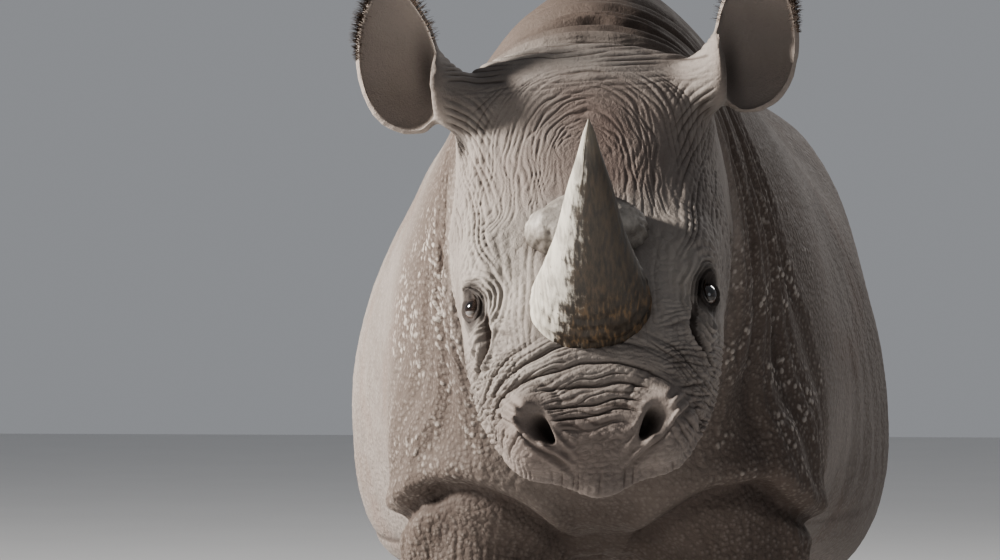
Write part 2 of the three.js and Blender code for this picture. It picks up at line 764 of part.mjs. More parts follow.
function mirrored(solid) {
  const mesh = solid.getMesh();
  const points = [];
  for (let i = 0; i < mesh.vertProperties.length; i += 3) {
    points.push(new THREE.Vector3().fromArray(mesh.vertProperties, i).applyMatrix4(mirrorX));
  }
  const flipped = [];
  for (let i = 0; i < mesh.triVerts.length; i += 3) {
    flipped.push(mesh.triVerts[i + 1], mesh.triVerts[i], mesh.triVerts[i + 2]);
  }
  return solidOf(points, flipped);
}

// The ear is parted from its root by a flat cut just outside the head.
const EAR_CUT = new THREE.Vector3(207, -1064, 1374);
const EAR_AXIS = new THREE.Vector3(1, 0, 0.12);

// ---- Eyes and nostrils ----

const BALL = new THREE.SphereGeometry(1, 10, 7);

// Where a ray in the head's frame leaves the body.
function leaves(from, direction) {
  const start = new THREE.Vector3(...from);
  const step = new THREE.Vector3(...direction).normalize();
  const outside = (reach) => {
    const point = start.clone().addScaledVector(step, reach).applyMatrix4(headFrame);
    return body(point.x, point.y, point.z) > 0;
  };
  let [near, far] = [0, HEAD_HALF_WIDTH];
  while (far - near > GAP / 2) {
    const middle = (near + far) / 2;
    if (outside(middle)) far = middle;
    else near = middle;
  }
  return near;
}

const eyeReach = leaves(EYE_SPOT, EYE_GAZE) - EYE_SEAT;

function eye(side, extra = 0) {
  const radius = EYE_RADIUS + extra;
  const middle = new THREE.Vector3(...EYE_GAZE)
    .setLength(eyeReach)
    .add(new THREE.Vector3(...EYE_SPOT));
  const scale = new THREE.Matrix4().makeScale(radius, radius, radius);
  scale.setPosition(side * middle.x, middle.y, middle.z);
  return solidFrom(BALL, headFrame.clone().multiply(scale));
}

// A nostril is a slanting oval pit.
function nostril(side) {
  const turn = new THREE.Matrix4()
    .makeRotationZ(side * NOSTRIL_SLANT)
    .setPosition(side * NOSTRIL_AT[0], NOSTRIL_AT[1], NOSTRIL_AT[2]);
  const scale = new THREE.Matrix4().makeScale(...NOSTRIL_SIZE);
  return solidFrom(BALL, headFrame.clone().multiply(turn).multiply(scale));
}

// ---- Feet ----

const nailSpots = [
  { name: 'inner', angle: 52, width: 36, height: 34 },
  { name: 'middle', angle: 0, width: 50, height: 40 },
  { name: 'outer', angle: -52, width: 36, height: 34 },
];
const NAIL_HALF_DEPTH = 25;
const NAIL_TILT = -0.3; // its upper edge leans back
const NAIL_RISE = 0.45; // height of its middle, as a share of its own height
const NAIL_BALL = new THREE.SphereGeometry(1, 8, 5);
const RIM_HEIGHT = 30; // where the foot's width is taken
const RIM_SHARE = 0.9; // how far out towards the foot's edge the middle of a nail stands

// A nail is a rounded plate set into the rim of the foot, flat below.
function nail(leg, side, spot, extra = 0) {
  const angle = THREE.MathUtils.degToRad(spot.angle) * side;
  const middle = new THREE.Vector3(
    side * leg.across(0) - Math.sin(angle) * leg.halfWidth(RIM_HEIGHT) * RIM_SHARE,
    leg.along(0) - Math.cos(angle) * leg.halfDepth(RIM_HEIGHT) * RIM_SHARE,
    NAIL_CLEARANCE + spot.height * NAIL_RISE,
  );
  const placing = new THREE.Matrix4()
    .makeTranslation(middle)
    .multiply(new THREE.Matrix4().makeRotationZ(-angle))
    .multiply(new THREE.Matrix4().makeRotationX(NAIL_TILT))
    .scale(new THREE.Vector3(spot.width + extra, NAIL_HALF_DEPTH + extra, spot.height + extra));
  const below = boxBetween([-FAR, -FAR, -FAR], [FAR, FAR, NAIL_CLEARANCE - extra]);
  return solidFrom(NAIL_BALL, placing).subtract(below);
}

// ---- Cuts between the lengths of the body ----

const HEAD_CUT_POINT = new THREE.Vector3(0, -1000, 1440);
const HEAD_CUT_FACING = new THREE.Vector3(0, -0.9, -0.436); // looks towards the face
const NECK_CUT_POINT = new THREE.Vector3(0, -650, 1100);
const NECK_CUT_FACING = new THREE.Vector3(0, -1, 0);
const TAIL_CUT_POINT = new THREE.Vector3(0, RUMP_Y + 2, 1200);
const TAIL_CUT_FACING = new THREE.Vector3(0, 1, 0);

// Both sides of a cut, half a gap off it: in front of it and behind it.
function cut(point, facing) {
  const unit = facing.clone().normalize();
  const front = point.clone().addScaledVector(unit, GAP / 2);
  const behind = point.clone().addScaledVector(unit, -GAP / 2);
  return { front: halfSpace(front, unit.clone().negate()), behind: halfSpace(behind, unit) };
}

// A leg's block: its sloping upper face runs up and out from the groin or armpit.
function legBlock(side, { groin, slope, front, back }, extra = 0) {
  const point = new THREE.Vector3(side * groin[0], 0, groin[1] + extra);
  const facing = new THREE.Vector3(-side * Math.sin(slope), 0, Math.cos(slope));
  const inner = GAP - extra;
  const half = boxBetween(
    [side > 0 ? inner : -FAR, front - extra, -FAR],
    [side > 0 ? FAR : -inner, back + extra, FAR],
  );
  return halfSpace(point, facing).intersect(half);
}

const foreBlock = { groin: [40, 618], slope: 0.5, front: -720, back: -232 };
const hindBlock = { groin: [36, 640], slope: 0.86, front: 462, back: 1060 };

// ---- The parts ----

const group = new THREE.Group();

function addPart(name, solid, color, roughness) {
  const mesh = solid.getMesh();
  const geometry = new THREE.BufferGeometry();
  geometry.setAttribute('position', new THREE.BufferAttribute(mesh.vertProperties, 3));
  geometry.setIndex(new THREE.BufferAttribute(mesh.triVerts, 1));
  geometry.computeVertexNormals();
  const part = new THREE.Mesh(
    geometry,
    new THREE.MeshStandardMaterial({ color, roughness, metalness: 0 }),
  );
  part.name = name;
  group.add(part);
}

const sides = [
  { name: 'left', side: 1 },
  { name: 'right', side: -1 },
];
const headCut = cut(HEAD_CUT_POINT, HEAD_CUT_FACING);
const neckCut = cut(NECK_CUT_POINT, NECK_CUT_FACING);
const tailCut = cut(TAIL_CUT_POINT, TAIL_CUT_FACING);
const floor = boxBetween([-FAR, -FAR, -FAR], [FAR, FAR, 0]);

// Head, with pockets for horns and eyes and stubs for the ears
const ears = { left: leftEar() };
ears.right = mirrored(ears.left);
let head = bodyNet([-260, -1520, 700], [260, -740, 1530], HEAD_FACETS).intersect(headCut.front);
for (const { name, side } of sides) {
  const ear = turned(ears[name], headTurn);
  const axis = EAR_AXIS.clone().setX(EAR_AXIS.x * side).transformDirection(headTurn);
  const earCut = cut(EAR_CUT.clone().setX(EAR_CUT.x * side).applyMatrix4(headTurn), axis);
  addPart(`ear_${name}`, ear.intersect(earCut.front), EAR_SKIN, 0.85);
  head = head.add(ear.intersect(earCut.behind)).subtract(nostril(-side)).subtract(eye(-side, GAP));
  addPart(`eye_${name}`, eye(-side), EYE, 0.15);
}
head = head.subtract(frontHorn(GAP)).subtract(rearHorn(GAP));
addPart('head', head, PALE_SKIN, 0.85);
addPart('horn_front', frontHorn(), HORN, 0.6);
addPart('horn_rear', rearHorn(), WORN_HORN, 0.7);

// Neck
const neck = bodyNet([-340, -1120, 620], [340, -560, 1660], NECK_FACETS)
  .intersect(neckCut.front)
  .intersect(headCut.behind);
addPart('neck', neck, SKIN, 0.9);

// Trunk, less the blocks of the legs
let trunk = bodyNet([-600, -760, 380], [600, 1240, 1680], TRUNK_FACETS)
  .intersect(neckCut.behind)
  .intersect(tailCut.behind);

// Legs with their nails
const LEG_BOX = { inner: -20, outer: 580, low: -90, high: 1200 };
const legs = [
  { name: 'foreleg', leg: foreleg, block: foreBlock, front: -720, back: -130 },
  { name: 'hindleg', leg: hindleg, block: hindBlock, front: 380, back: 1130 },
];
for (const { name, leg, block, front, back } of legs) {
  for (const { name: sideName, side } of sides) {
    const reach = [side * LEG_BOX.inner, side * LEG_BOX.outer];
    const low = [Math.min(...reach), front, LEG_BOX.low];
    const high = [Math.max(...reach), back, LEG_BOX.high];
    let limb = bodyNet(low, high, LEG_FACETS)
      .intersect(legBlock(side, block))
      .subtract(floor);
    for (const spot of nailSpots) {
      limb = limb.subtract(nail(leg, side, spot, GAP));
      addPart(`nail_${name}_${sideName}_${spot.name}`, nail(leg, side, spot), NAIL, 0.55);
    }
    addPart(`${name}_${sideName}`, limb, SKIN, 0.9);
    trunk = trunk.subtract(legBlock(side, block, GAP));
  }
}
addPart('trunk', trunk, SKIN, 0.9);

// Tail and the flat tuft of hair at its end
const tail = bodyNet([-90, 1040, 540], [90, 1220, 1360], TAIL_FACETS).intersect(tailCut.front);
const TUFT_RINGS = 6;
const TUFT_SIDES = 8;
const TUFT_HALF_SIZE = [16, 34];
const TUFT_TOP = TAIL_END_HEIGHT - TAIL_RADII[3] - 4;
const tuftWidth = profile([0, 0.5], [0.3, 1], [0.7, 0.8], [1, 0.15]);
const tuftStack = [];
for (let ring = TUFT_RINGS; ring >= 0; ring -= 1) {
  const t = ring / TUFT_RINGS;
  tuftStack.push(
    Array.from({ length: TUFT_SIDES }, (_, i) => {
      const angle = (i / TUFT_SIDES) * 2 * Math.PI;
      return new THREE.Vector3(
        TUFT_HALF_SIZE[0] * tuftWidth(t) * Math.cos(angle),
        TAIL_LINE[3][1] + TUFT_HALF_SIZE[1] * tuftWidth(t) * Math.sin(angle),
        TUFT_TOP - t * TUFT_LENGTH,
      );
    }),
  );
}
addPart('tail', tail, SKIN, 0.9);
addPart('tail_tuft', loft(tuftStack), TUFT, 0.95);

// The origin is on the floor under the middle of the whole animal's box.
const box = new THREE.Box3().setFromObject(group);
const centre = box.getCenter(new THREE.Vector3());
group.position.set(-centre.x, -centre.y, -box.min.z);

export default group;
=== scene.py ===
"""A black rhinoceros, life size: one creased skin over the solids, with its horns, eyes,
nails and the few hairs it has. Everything is in metres, in the frame of the solids."""

import json
import math

import bpy
import numpy as np
from mathutils import Matrix, Vector
from mathutils.bvhtree import BVHTree

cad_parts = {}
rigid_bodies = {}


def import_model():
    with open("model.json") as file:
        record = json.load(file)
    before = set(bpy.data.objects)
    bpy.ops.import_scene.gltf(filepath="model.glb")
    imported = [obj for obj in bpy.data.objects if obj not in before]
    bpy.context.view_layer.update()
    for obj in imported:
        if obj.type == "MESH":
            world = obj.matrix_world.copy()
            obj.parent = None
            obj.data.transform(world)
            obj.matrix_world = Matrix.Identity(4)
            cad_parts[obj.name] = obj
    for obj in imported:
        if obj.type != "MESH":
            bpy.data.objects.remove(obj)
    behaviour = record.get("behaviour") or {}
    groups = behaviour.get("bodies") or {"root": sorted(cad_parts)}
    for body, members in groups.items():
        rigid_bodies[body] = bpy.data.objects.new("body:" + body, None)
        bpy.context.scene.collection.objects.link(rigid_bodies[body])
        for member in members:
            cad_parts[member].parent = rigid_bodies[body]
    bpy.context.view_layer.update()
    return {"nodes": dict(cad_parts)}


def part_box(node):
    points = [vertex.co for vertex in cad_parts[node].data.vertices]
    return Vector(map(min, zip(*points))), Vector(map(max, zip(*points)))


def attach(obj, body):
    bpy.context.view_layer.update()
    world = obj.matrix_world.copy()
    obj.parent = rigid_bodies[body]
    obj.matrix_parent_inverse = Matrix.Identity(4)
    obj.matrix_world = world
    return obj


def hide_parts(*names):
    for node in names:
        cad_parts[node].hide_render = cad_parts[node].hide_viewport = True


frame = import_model()

# ---- Driving sizes ----

FLESH = [
    "trunk", "neck", "head", "ear_left", "ear_right",
    "foreleg_left", "foreleg_right", "hindleg_left", "hindleg_right", "tail",
]
SKIN_CELL = 0.0070  # grid that the skin is first laid on
SMOOTH_ROUNDS = 150
SOFT_STEPS = 24  # levels of softness that the smoothing tells apart
EAR_ROUNDS = 12  # of evening out, once the ears are drawn onto their form
EAR_REACH = 0.02  # how far off that form is looked for
SHOULDER_BACK = 0.02  # the skin is finer from here forwards
FACE_LEVELS = 2  # times that the face is refined; the rest of the head takes one less

HEAD_PITCH = math.radians(58)
HEAD_ROLL = math.radians(-3.6)
HEAD_YAW = math.radians(1.5)
EYE_DOWN = 0.3898  # of the eyes' middle below the crest, along the face
EYE_SUNK = 0.0432  # and behind the face line
EYE_RADIUS = 0.018
NOSTRIL_SLANT = 0.5
PIT_AT = (0.080, 0.606)  # of the solid head's nostril pits, across and down the face
PIT_HALF_WIDTH = 0.023
PIT_HALF_LENGTH = 0.029
PIT_DEPTH = 0.080

# ---- Small sums on arrays ----


def box_middle(node):
    low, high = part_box(node)
    return np.array((low + high) / 2)


def ramp(value, start, end):
    """0 before start, 1 after end, eased between them."""
    t = np.clip((value - start) / (end - start), 0, 1)
    return t * t * (3 - 2 * t)


def curve(*knots):
    """A smooth curve through (at, value) knots that never overshoots them."""
    at, value = np.array(knots, float).T
    slope = np.diff(value) / np.diff(at)
    product = slope[:-1] * slope[1:]
    total = np.where(product > 0, slope[:-1] + slope[1:], 1.0)
    inner = np.where(product > 0, 2 * product / total, 0.0)
    tangent = np.concatenate([slope[:1], inner, slope[-1:]])

    def reading(x):
        x = np.clip(x, at[0], at[-1])
        i = np.clip(np.searchsorted(at, x, "right") - 1, 0, len(slope) - 1)
        width = at[i + 1] - at[i]
        t = (x - at[i]) / width
        rise = t * t * (3 - 2 * t)
        bend = tangent[i] * (1 - t) - tangent[i + 1] * t
        return value[i] * (1 - rise) + value[i + 1] * rise + width * t * (1 - t) * bend

    return reading


def hump(value, middle, width):
    return np.exp(-(((value - middle) / width) ** 2))


def lattice(cell, seed):
    """A repeatable number from 0 to 1 for each grid point."""
    n = cell[:, 0] * 73856093 ^ cell[:, 1] * 19349663 ^ cell[:, 2] * 83492791 ^ seed * 40503
    n = (n ^ (n >> 13)) * 1274126177 & 0xFFFFFFFF
    return ((n ^ (n >> 15)) & 0xFFFF) / 65535.0


def noise(p, size, seed):
    """Smooth noise from -1 to 1 whose lumps are about size across."""
    q = p / size + seed * 17.31
    base = np.floor(q).astype(np.int64)
    t = q - base
    t = t * t * t * (t * (6 * t - 15) + 10)
    total = np.zeros(len(p))
    for corner in range(8):
        step = np.array([corner & 1, corner >> 1 & 1, corner >> 2])
        weight = np.prod(np.where(step, t, 1 - t), axis=1)
        total += weight * lattice(base + step, seed)
    return 2 * total - 1


def layered(p, size, seed, layers=3):
    total = sum(noise(p, size / 2**i, seed + i) / 2**i for i in range(layers))
    return total / (2 - 2.0 ** (1 - layers))


def cells(p, size, seed):
    """For a net of cells about size across: the way to the nearest edge between two cells,
    in cells, and the way to the middle of the nearest one."""
    q = p / np.asarray(size)
    base = np.floor(q).astype(np.int64)
    first = np.full(len(p), 9.0)
    second = np.full(len(p), 9.0)
    for i in (-1, 0, 1):
        for j in (-1, 0, 1):
            for k in (-1, 0, 1):
                cell = base + (i, j, k)
                away = 0.0
                for axis in range(3):
                    spot = cell[:, axis] + 0.1 + 0.8 * lattice(cell, seed + axis)
                    away = away + (spot - q[:, axis]) ** 2
                second = np.minimum(second, np.maximum(first, away))
                first = np.minimum(first, away)
    first, second = np.sqrt(first), np.sqrt(second)
    return (second - first) / 2, first


def crease(way, width):
    """A valley with soft shoulders at way 0: -1 at its bottom, 0 far off."""
    t = way / width
    return -np.exp(-t * t) + 0.35 * np.exp(-((np.abs(t) - 1.9) ** 2))


# ---- The head's own frame ----
# x runs to the animal's left, s down the face from the crest and h out from the face.

turn = Matrix.Rotation(HEAD_YAW, 3, "Z") @ Matrix.Rotation(HEAD_ROLL, 3, "Y")
ACROSS = np.array(turn @ Vector((1, 0, 0)))
DOWN = np.array(turn @ Vector((0, -math.cos(HEAD_PITCH), -math.sin(HEAD_PITCH))))
OUT = np.array(turn @ Vector((0, -math.sin(HEAD_PITCH), math.cos(HEAD_PITCH))))
HEAD_AXES = np.stack([ACROSS, DOWN, OUT])
HEAD_TURN = np.array(turn)
SIDES = {"left": 1, "right": -1}
EYES = {side: box_middle(f"eye_{side}") for side in SIDES}
CREST = (EYES["left"] + EYES["right"]) / 2 - EYE_DOWN * DOWN + EYE_SUNK * OUT


def unit(ways):
    """The ways, each made one long."""
    return ways / np.linalg.norm(ways, axis=1, keepdims=True)


def into_head(points):
    return (points - CREST) @ HEAD_AXES.T


def from_head(points):
    return np.asarray(points) @ HEAD_AXES + CREST


# ---- Meshes as arrays ----


def arrays_of(mesh):
    points = np.zeros(len(mesh.vertices) * 3, np.float32)
    mesh.vertices.foreach_get("co", points)
    mesh.calc_loop_triangles()
    faces = np.zeros(len(mesh.loop_triangles) * 3, np.int32)
    mesh.loop_triangles.foreach_get("vertices", faces)
    return points.reshape(-1, 3).astype(float), faces.reshape(-1, 3)


def solid_of(node):
    return arrays_of(frame["nodes"][node].data)


def joined(pieces):
    points, faces, count = [], [], 0
    for piece_points, piece_faces in pieces:
        points.append(piece_points)
        faces.append(np.asarray(piece_faces) + count)
        count += len(piece_points)
    return np.concatenate(points), np.concatenate(faces)


def mesh_from(name, points, faces):
    """A mesh of triangles or quads, whichever the rows of faces are."""
    mesh = bpy.data.meshes.new(name)
    corners = faces.shape[1]
    mesh.vertices.add(len(points))
    mesh.vertices.foreach_set("co", points.astype(np.float32).ravel())
    mesh.loops.add(faces.size)
    mesh.loops.foreach_set("vertex_index", faces.astype(np.int32).ravel())
    mesh.polygons.add(len(faces))
    mesh.polygons.foreach_set("loop_start", np.arange(0, faces.size, corners, dtype=np.int32))
    mesh.update(calc_edges=True)
    mesh.shade_smooth()
    return mesh


def object_from(name, points, faces):
    piece = bpy.data.objects.new(name, mesh_from(name, points, faces))
    bpy.context.scene.collection.objects.link(piece)
    return piece


def applied(piece):
    """The piece's mesh with its modifiers worked out."""
    seen = piece.evaluated_get(bpy.context.evaluated_depsgraph_get())
    return bpy.data.meshes.new_from_object(seen)


def normals_of(points, faces):
    a, b, c = (points[faces[:, i]] for i in range(3))
    flat = np.cross(b - a, c - a)
    total = np.zeros_like(points)
    for corner in range(3):
        for axis in range(3):
            total[:, axis] += np.bincount(faces[:, corner], flat[:, axis], len(points))
    return total / np.maximum(np.linalg.norm(total, axis=1, keepdims=True), 1e-12)


# A triangle's own corners are 0 to 2 and the new points on its edges 3 to 5. For each number
# of edges that are split, the triangles that take its place.
SPLITS = {
    1: ((0, 3, 2), (3, 1, 2)),
    2: ((3, 1, 4), (0, 3, 4), (0, 4, 2)),
    3: ((0, 3, 5), (3, 1, 4), (5, 4, 2), (3, 4, 5)),
}


def refined(points, faces, wanted):
    """Splits the wanted triangles in four and their neighbours to match. New points bulge
    as the surface between their ends does."""
    normals = normals_of(points, faces)
    ends = np.sort(faces[:, [0, 1, 1, 2, 2, 0]].reshape(-1, 2), axis=1)
    key = ends[:, 0].astype(np.int64) * len(points) + ends[:, 1]
    split = np.unique(key.reshape(-1, 3)[wanted])
    a, b = split // len(points), split % len(points)
    middle = (points[a] + points[b]) / 2
    for end in (a, b):
        off = np.sum((points[end] - middle) * normals[end], axis=1, keepdims=True)
        middle = middle + 0.375 * off * normals[end]
    place = np.searchsorted(split, key)
    place[place == len(split)] = 0
    new = np.where(split[place] == key, place + len(points), -1).reshape(-1, 3)
    points = np.concatenate([points, middle])
    count = np.sum(new >= 0, axis=1)
    corners = np.concatenate([faces, new], axis=1)
    rows = [faces[count == 0]]
    rows += [corners[count == 3][:, pick] for pick in SPLITS[3]]
    for start in range(3):
        edges = np.roll(new, -start, axis=1)
        corners = np.concatenate([np.roll(faces, -start, axis=1), edges], axis=1)
        for edges_split, mine in ((1, edges[:, 0] >= 0), (2, edges[:, 2] < 0)):
            mine = mine & (count == edges_split)
            rows += [corners[mine][:, pick] for pick in SPLITS[edges_split]]
    return points, np.concatenate(rows)


# ---- The skin's first form ----

NECK_JOINT = np.array([0.0005, -0.908, 1.200])  # the head turns about this point
EAR_AT = np.array([0.2465, -0.830, 1.317])  # lowest point of the left cup, before the head turns
EAR_HEIGHT = 0.243
EAR_HALF_WIDTH = 0.064
EAR_HALF_DEPTH = 0.046
EAR_WALL = 0.0075
EAR_THIN_WALL = 0.0045  # once the skin is fine enough to show it
EAR_OPENING = 0.014  # how far the hollow is moved forwards
EAR_SPREAD = 0.026
EAR_LEAN = 0.014
EAR_INNER_BULGE = 0.3
EAR_SOFT = 0.07
ear_width = curve(
    (0, 0.25), (0.06, 0.62), (0.2, 0.9), (0.4, 1), (0.6, 0.9), (0.76, 0.66), (0.9, 0.34), (1, 0.06),
)
ear_depth = curve((0, 0.3), (0.08, 0.6), (0.3, 1), (0.55, 0.9), (0.8, 0.5), (1, 0.1))
# Middle and radius of the rings of the ear's root, from the crest outwards
EAR_ROOT = (
    (0.1285, -0.812, 1.338, 0.046), (0.1765, -0.828, 1.358, 0.052),
    (0.2000, -0.842, 1.378, 0.057), (0.2130, -0.848, 1.390, 0.056),
    (0.2210, -0.848, 1.394, 0.044),
)
EAR_ROOT_FLATNESS = 0.8
EAR_SIDES, EAR_RINGS, EAR_ROOT_SIDES = 48, 40, 32
EAR_LEAST_HALF = 0.002  # of the hollow, at its ends
PLUG_SIDES = 24


def with_head(points):
    """Turns what is modelled upright as the head is turned."""
    return (points - NECK_JOINT) @ HEAD_TURN.T + NECK_JOINT


def tube(rings):
    """A closed mesh through rings of points, with the ends drawn to their middles."""
    count, sides = rings.shape[:2]
    points = np.concatenate([rings.reshape(-1, 3), rings[0].mean(0)[None], rings[-1].mean(0)[None]])
    ring, side = np.divmod(np.arange((count - 1) * sides), sides)
    after = (side + 1) % sides
    a, b = ring * sides + side, ring * sides + after
    faces = [np.stack([a, b, b + sides], 1), np.stack([a, b + sides, a + sides], 1)]
    side = np.arange(sides)
    after = (side + 1) % sides
    first, last = count * sides, count * sides + 1
    top = (count - 1) * sides
    faces.append(np.stack([np.full(sides, first), after, side], 1))
    faces.append(np.stack([np.full(sides, last), top + side, top + after], 1))
    return points, np.concatenate(faces)


def round_angles(sides):
    return np.linspace(0, 2 * np.pi, sides, endpoint=False)


def ear_outline(t, angle, width, depth, forward):
    """Where the left ear's edge runs, across and along the animal, a share t of the way up."""
    lobe = 1 - EAR_INNER_BULGE * np.cos(angle)
    x = EAR_AT[0] + width * np.cos(angle) + EAR_SPREAD * np.sqrt(t)
    return x, EAR_AT[1] - forward + depth * np.sin(angle) * lobe - EAR_LEAN * t


def ear_rings(heights, t, inset, forward):
    angle = round_angles(EAR_SIDES)[None, :]
    t = t[:, None]
    width = np.maximum(EAR_HALF_WIDTH * ear_width(t) - inset, EAR_LEAST_HALF)
    depth = np.maximum(EAR_HALF_DEPTH * ear_depth(t) - 0.4 * inset, EAR_LEAST_HALF)
    x, y = ear_outline(t, angle, width, depth, forward)
    return np.stack([x, y, EAR_AT[2] + heights[:, None] + 0 * angle], axis=2)


def ear_form(sign, wall):
    """The ear as the solids have it, but round: a cup, less its hollow, and its root."""
    t = np.linspace(0, 1, EAR_RINGS)
    cup = tube(ear_rings(t * EAR_HEIGHT, t, 0, 0))
    hollow_height = wall + t * (EAR_HEIGHT - 2 * wall)
    hollow = tube(ear_rings(hollow_height, t, wall, EAR_OPENING))
    angle = round_angles(EAR_ROOT_SIDES)
    root = tube(np.array([
        np.stack([0 * angle + x, y + EAR_ROOT_FLATNESS * r * np.cos(angle), z + r * np.sin(angle)], 1)
        for x, y, z, r in EAR_ROOT
    ]))
    ear = object_from("ear", *cup)
    cutter = object_from("hollow", *hollow)
    stem = object_from("root", *root)
    for other, way in ((stem, "UNION"), (cutter, "DIFFERENCE")):
        cut = ear.modifiers.new(way, "BOOLEAN")
        cut.operation = way
        cut.object = other
        cut.solver = "EXACT"
    points, faces = arrays_of(applied(ear))
    for piece in (ear, cutter, stem):
        bpy.data.objects.remove(piece)
    if sign < 0:
        points[:, 0] = 2 * NECK_JOINT[0] - points[:, 0]
        faces = faces[:, ::-1]
    return with_head(points), faces


HEAD_CUT = np.array([0, -0.758, 1.44])  # the head's nodes lie in front of this plane
HEAD_CUT_FACING = np.array([0, -0.9, -0.436])
HEAD_CUT_SOFT = 0.05


def in_head(points):
    """1 in the head, 0 in the neck, eased over the cut between them."""
    return ramp((points - HEAD_CUT) @ HEAD_CUT_FACING, -HEAD_CUT_SOFT, HEAD_CUT_SOFT)


def plug(node, top):
    """Fills the pocket under a horn, up to this far out from the face line."""
    points, faces = solid_of(node)
    local = into_head(points)
    local[:, 2] = np.minimum(local[:, 2], top)
    return from_head(local), faces


def nostril_plug(sign):
    """Fills a nostril's pit up to the face around it; the opening is shaped later on."""
    solid = BVHTree.FromPolygons(*(part.tolist() for part in solid_of("head")))
    angle = round_angles(PLUG_SIDES)
    u, v = PIT_HALF_WIDTH * np.cos(angle), PIT_HALF_LENGTH * np.sin(angle)
    turned = NOSTRIL_SLANT * sign
    x = PIT_AT[0] * sign + u * math.cos(turned) - v * math.sin(turned)
    s = PIT_AT[1] + u * math.sin(turned) + v * math.cos(turned)
    above = from_head(np.stack([x, s, 0 * x + 0.2], axis=1))
    rim = np.array([solid.ray_cast(Vector(place), Vector(-OUT))[0] for place in above])
    return tube(np.stack([rim - PIT_DEPTH * OUT, rim]))


def largest_part(piece):
    """Drops the small closed pockets that are left inside the skin."""
    bpy.context.view_layer.objects.active = piece
    points, _ = arrays_of(piece.data)
    piece.data.vertices.foreach_set("select", np.arange(len(points)) == np.argmax(points[:, 2]))
    bpy.ops.object.mode_set(mode="EDIT")
    bpy.ops.mesh.select_mode(type="VERT")
    bpy.ops.mesh.select_linked()
    bpy.ops.mesh.select_all(action="INVERT")
    bpy.ops.mesh.delete(type="VERT")
    bpy.ops.object.mode_set(mode="OBJECT")


def softness(points):
    """How far the facets are smoothed away: most on the broad trunk, least on the ears."""
    head = in_head(points)
    soft = 1 - 0.9 * head
    soft *= 1 - 0.55 * (1 - ramp(points[:, 2], 0.5, 0.75))
    soft *= 1 - 0.7 * (1 - ramp(points[:, 2], 0.08, 0.2))
    soft = np.where(points[:, 1] > 1.33, 0.12, soft)
    local = into_head(points)
    ear = head * ramp(np.abs(local[:, 0]), 0.17, 0.2) * (local[:, 1] < 0.13)
    return soft + (EAR_SOFT - soft) * ear


def base_skin():
    parts = [solid_of(node) for node in FLESH if "ear" not in node]
    parts += [solid_of(f"eye_{side}") for side in EYES]
    parts += [ear_form(1, EAR_WALL), ear_form(-1, EAR_WALL)]
    parts += [plug("horn_front", 0.008), plug("horn_rear", -0.004)]
    parts += [nostril_plug(1), nostril_plug(-1)]
    piece = object_from("skin", *joined(parts))
    remesh = piece.modifiers.new("remesh", "REMESH")
    remesh.mode = "VOXEL"
    remesh.voxel_size = SKIN_CELL * 1
    piece.data = applied(piece)
    piece.modifiers.clear()
    largest_part(piece)

    points, _ = arrays_of(piece.data)
    soft = softness(points)
    group = piece.vertex_groups.new(name="soft")
    level = np.round(soft * SOFT_STEPS).astype(int)
    for step in range(1, SOFT_STEPS + 1):
        group.add(np.flatnonzero(level == step).tolist(), step / SOFT_STEPS, "REPLACE")
    smooth = piece.modifiers.new("smooth", "SMOOTH")
    smooth.factor = 0.9
    smooth.iterations = SMOOTH_ROUNDS // 1
    smooth.vertex_group = "soft"
    mesh = applied(piece)
    bpy.data.objects.remove(piece)
    return arrays_of(mesh)


def evened(points, faces, share, rounds):
    """Points drawn towards the middle of their neighbours, as far as share says."""
    moving = np.any(share[faces] > 0, axis=1)
    used, small = np.unique(faces[moving], return_inverse=True)
    small = small.reshape(-1, 3)
    ends = np.concatenate([small[:, [0, 1]], small[:, [1, 2]], small[:, [2, 0]]])
    count = np.maximum(np.bincount(ends[:, 0], minlength=len(used)), 1)[:, None]
    spots = points[used]
    for _ in range(rounds):
        total = np.stack(
            [np.bincount(ends[:, 0], spots[ends[:, 1], axis], len(used)) for axis in range(3)], 1
        )
        spots = spots + 0.6 * share[used][:, None] * (total / count - spots)
    points[used] = spots


def settle_ears(points, faces):
    """Draws the skin of each cup onto the ear's true form, which the grid leaves stepped."""
    local = into_head(points)
    cups = ramp(np.abs(local[:, 0]), 0.190, 0.215) * (local[:, 1] < 0.16)
    for sign in (1, -1):
        exact = BVHTree.FromPolygons(*(array.tolist() for array in ear_form(sign, EAR_THIN_WALL)))
        share = cups * (local[:, 0] * sign > 0)
        for i in np.flatnonzero(share > 0):
            near = exact.find_nearest(points[i], EAR_REACH)[0]
            if near is not None:
                points[i] += share[i] * (np.array(near) - points[i])
    evened(points, faces, cups, EAR_ROUNDS)


def skin_form():
    """The smoothed skin, finer over the shoulders and finest on the face and ears."""
    points, faces = base_skin()
    for level in range(FACE_LEVELS):
        middle = points[faces].mean(axis=1)
        local = into_head(middle)
        if level == 0:
            flank = (middle[:, 1] < SHOULDER_BACK) & (np.abs(middle[:, 0]) > 0.13)
            crest = (middle[:, 1] < -0.25) & (middle[:, 2] > 1.25)
            wanted = (in_head(middle) > 0.5) | (flank & (middle[:, 2] > 0.62)) | crest
        else:
            ears = (np.abs(local[:, 0]) > 0.2) & (local[:, 1] < 0.14)
            wanted = (in_head(middle) > 0.5) & ((local[:, 2] > -0.14) | ears)
        points, faces = refined(points, faces, wanted)
    settle_ears(points, faces)
    return points, faces


# ---- Large folds and openings ----

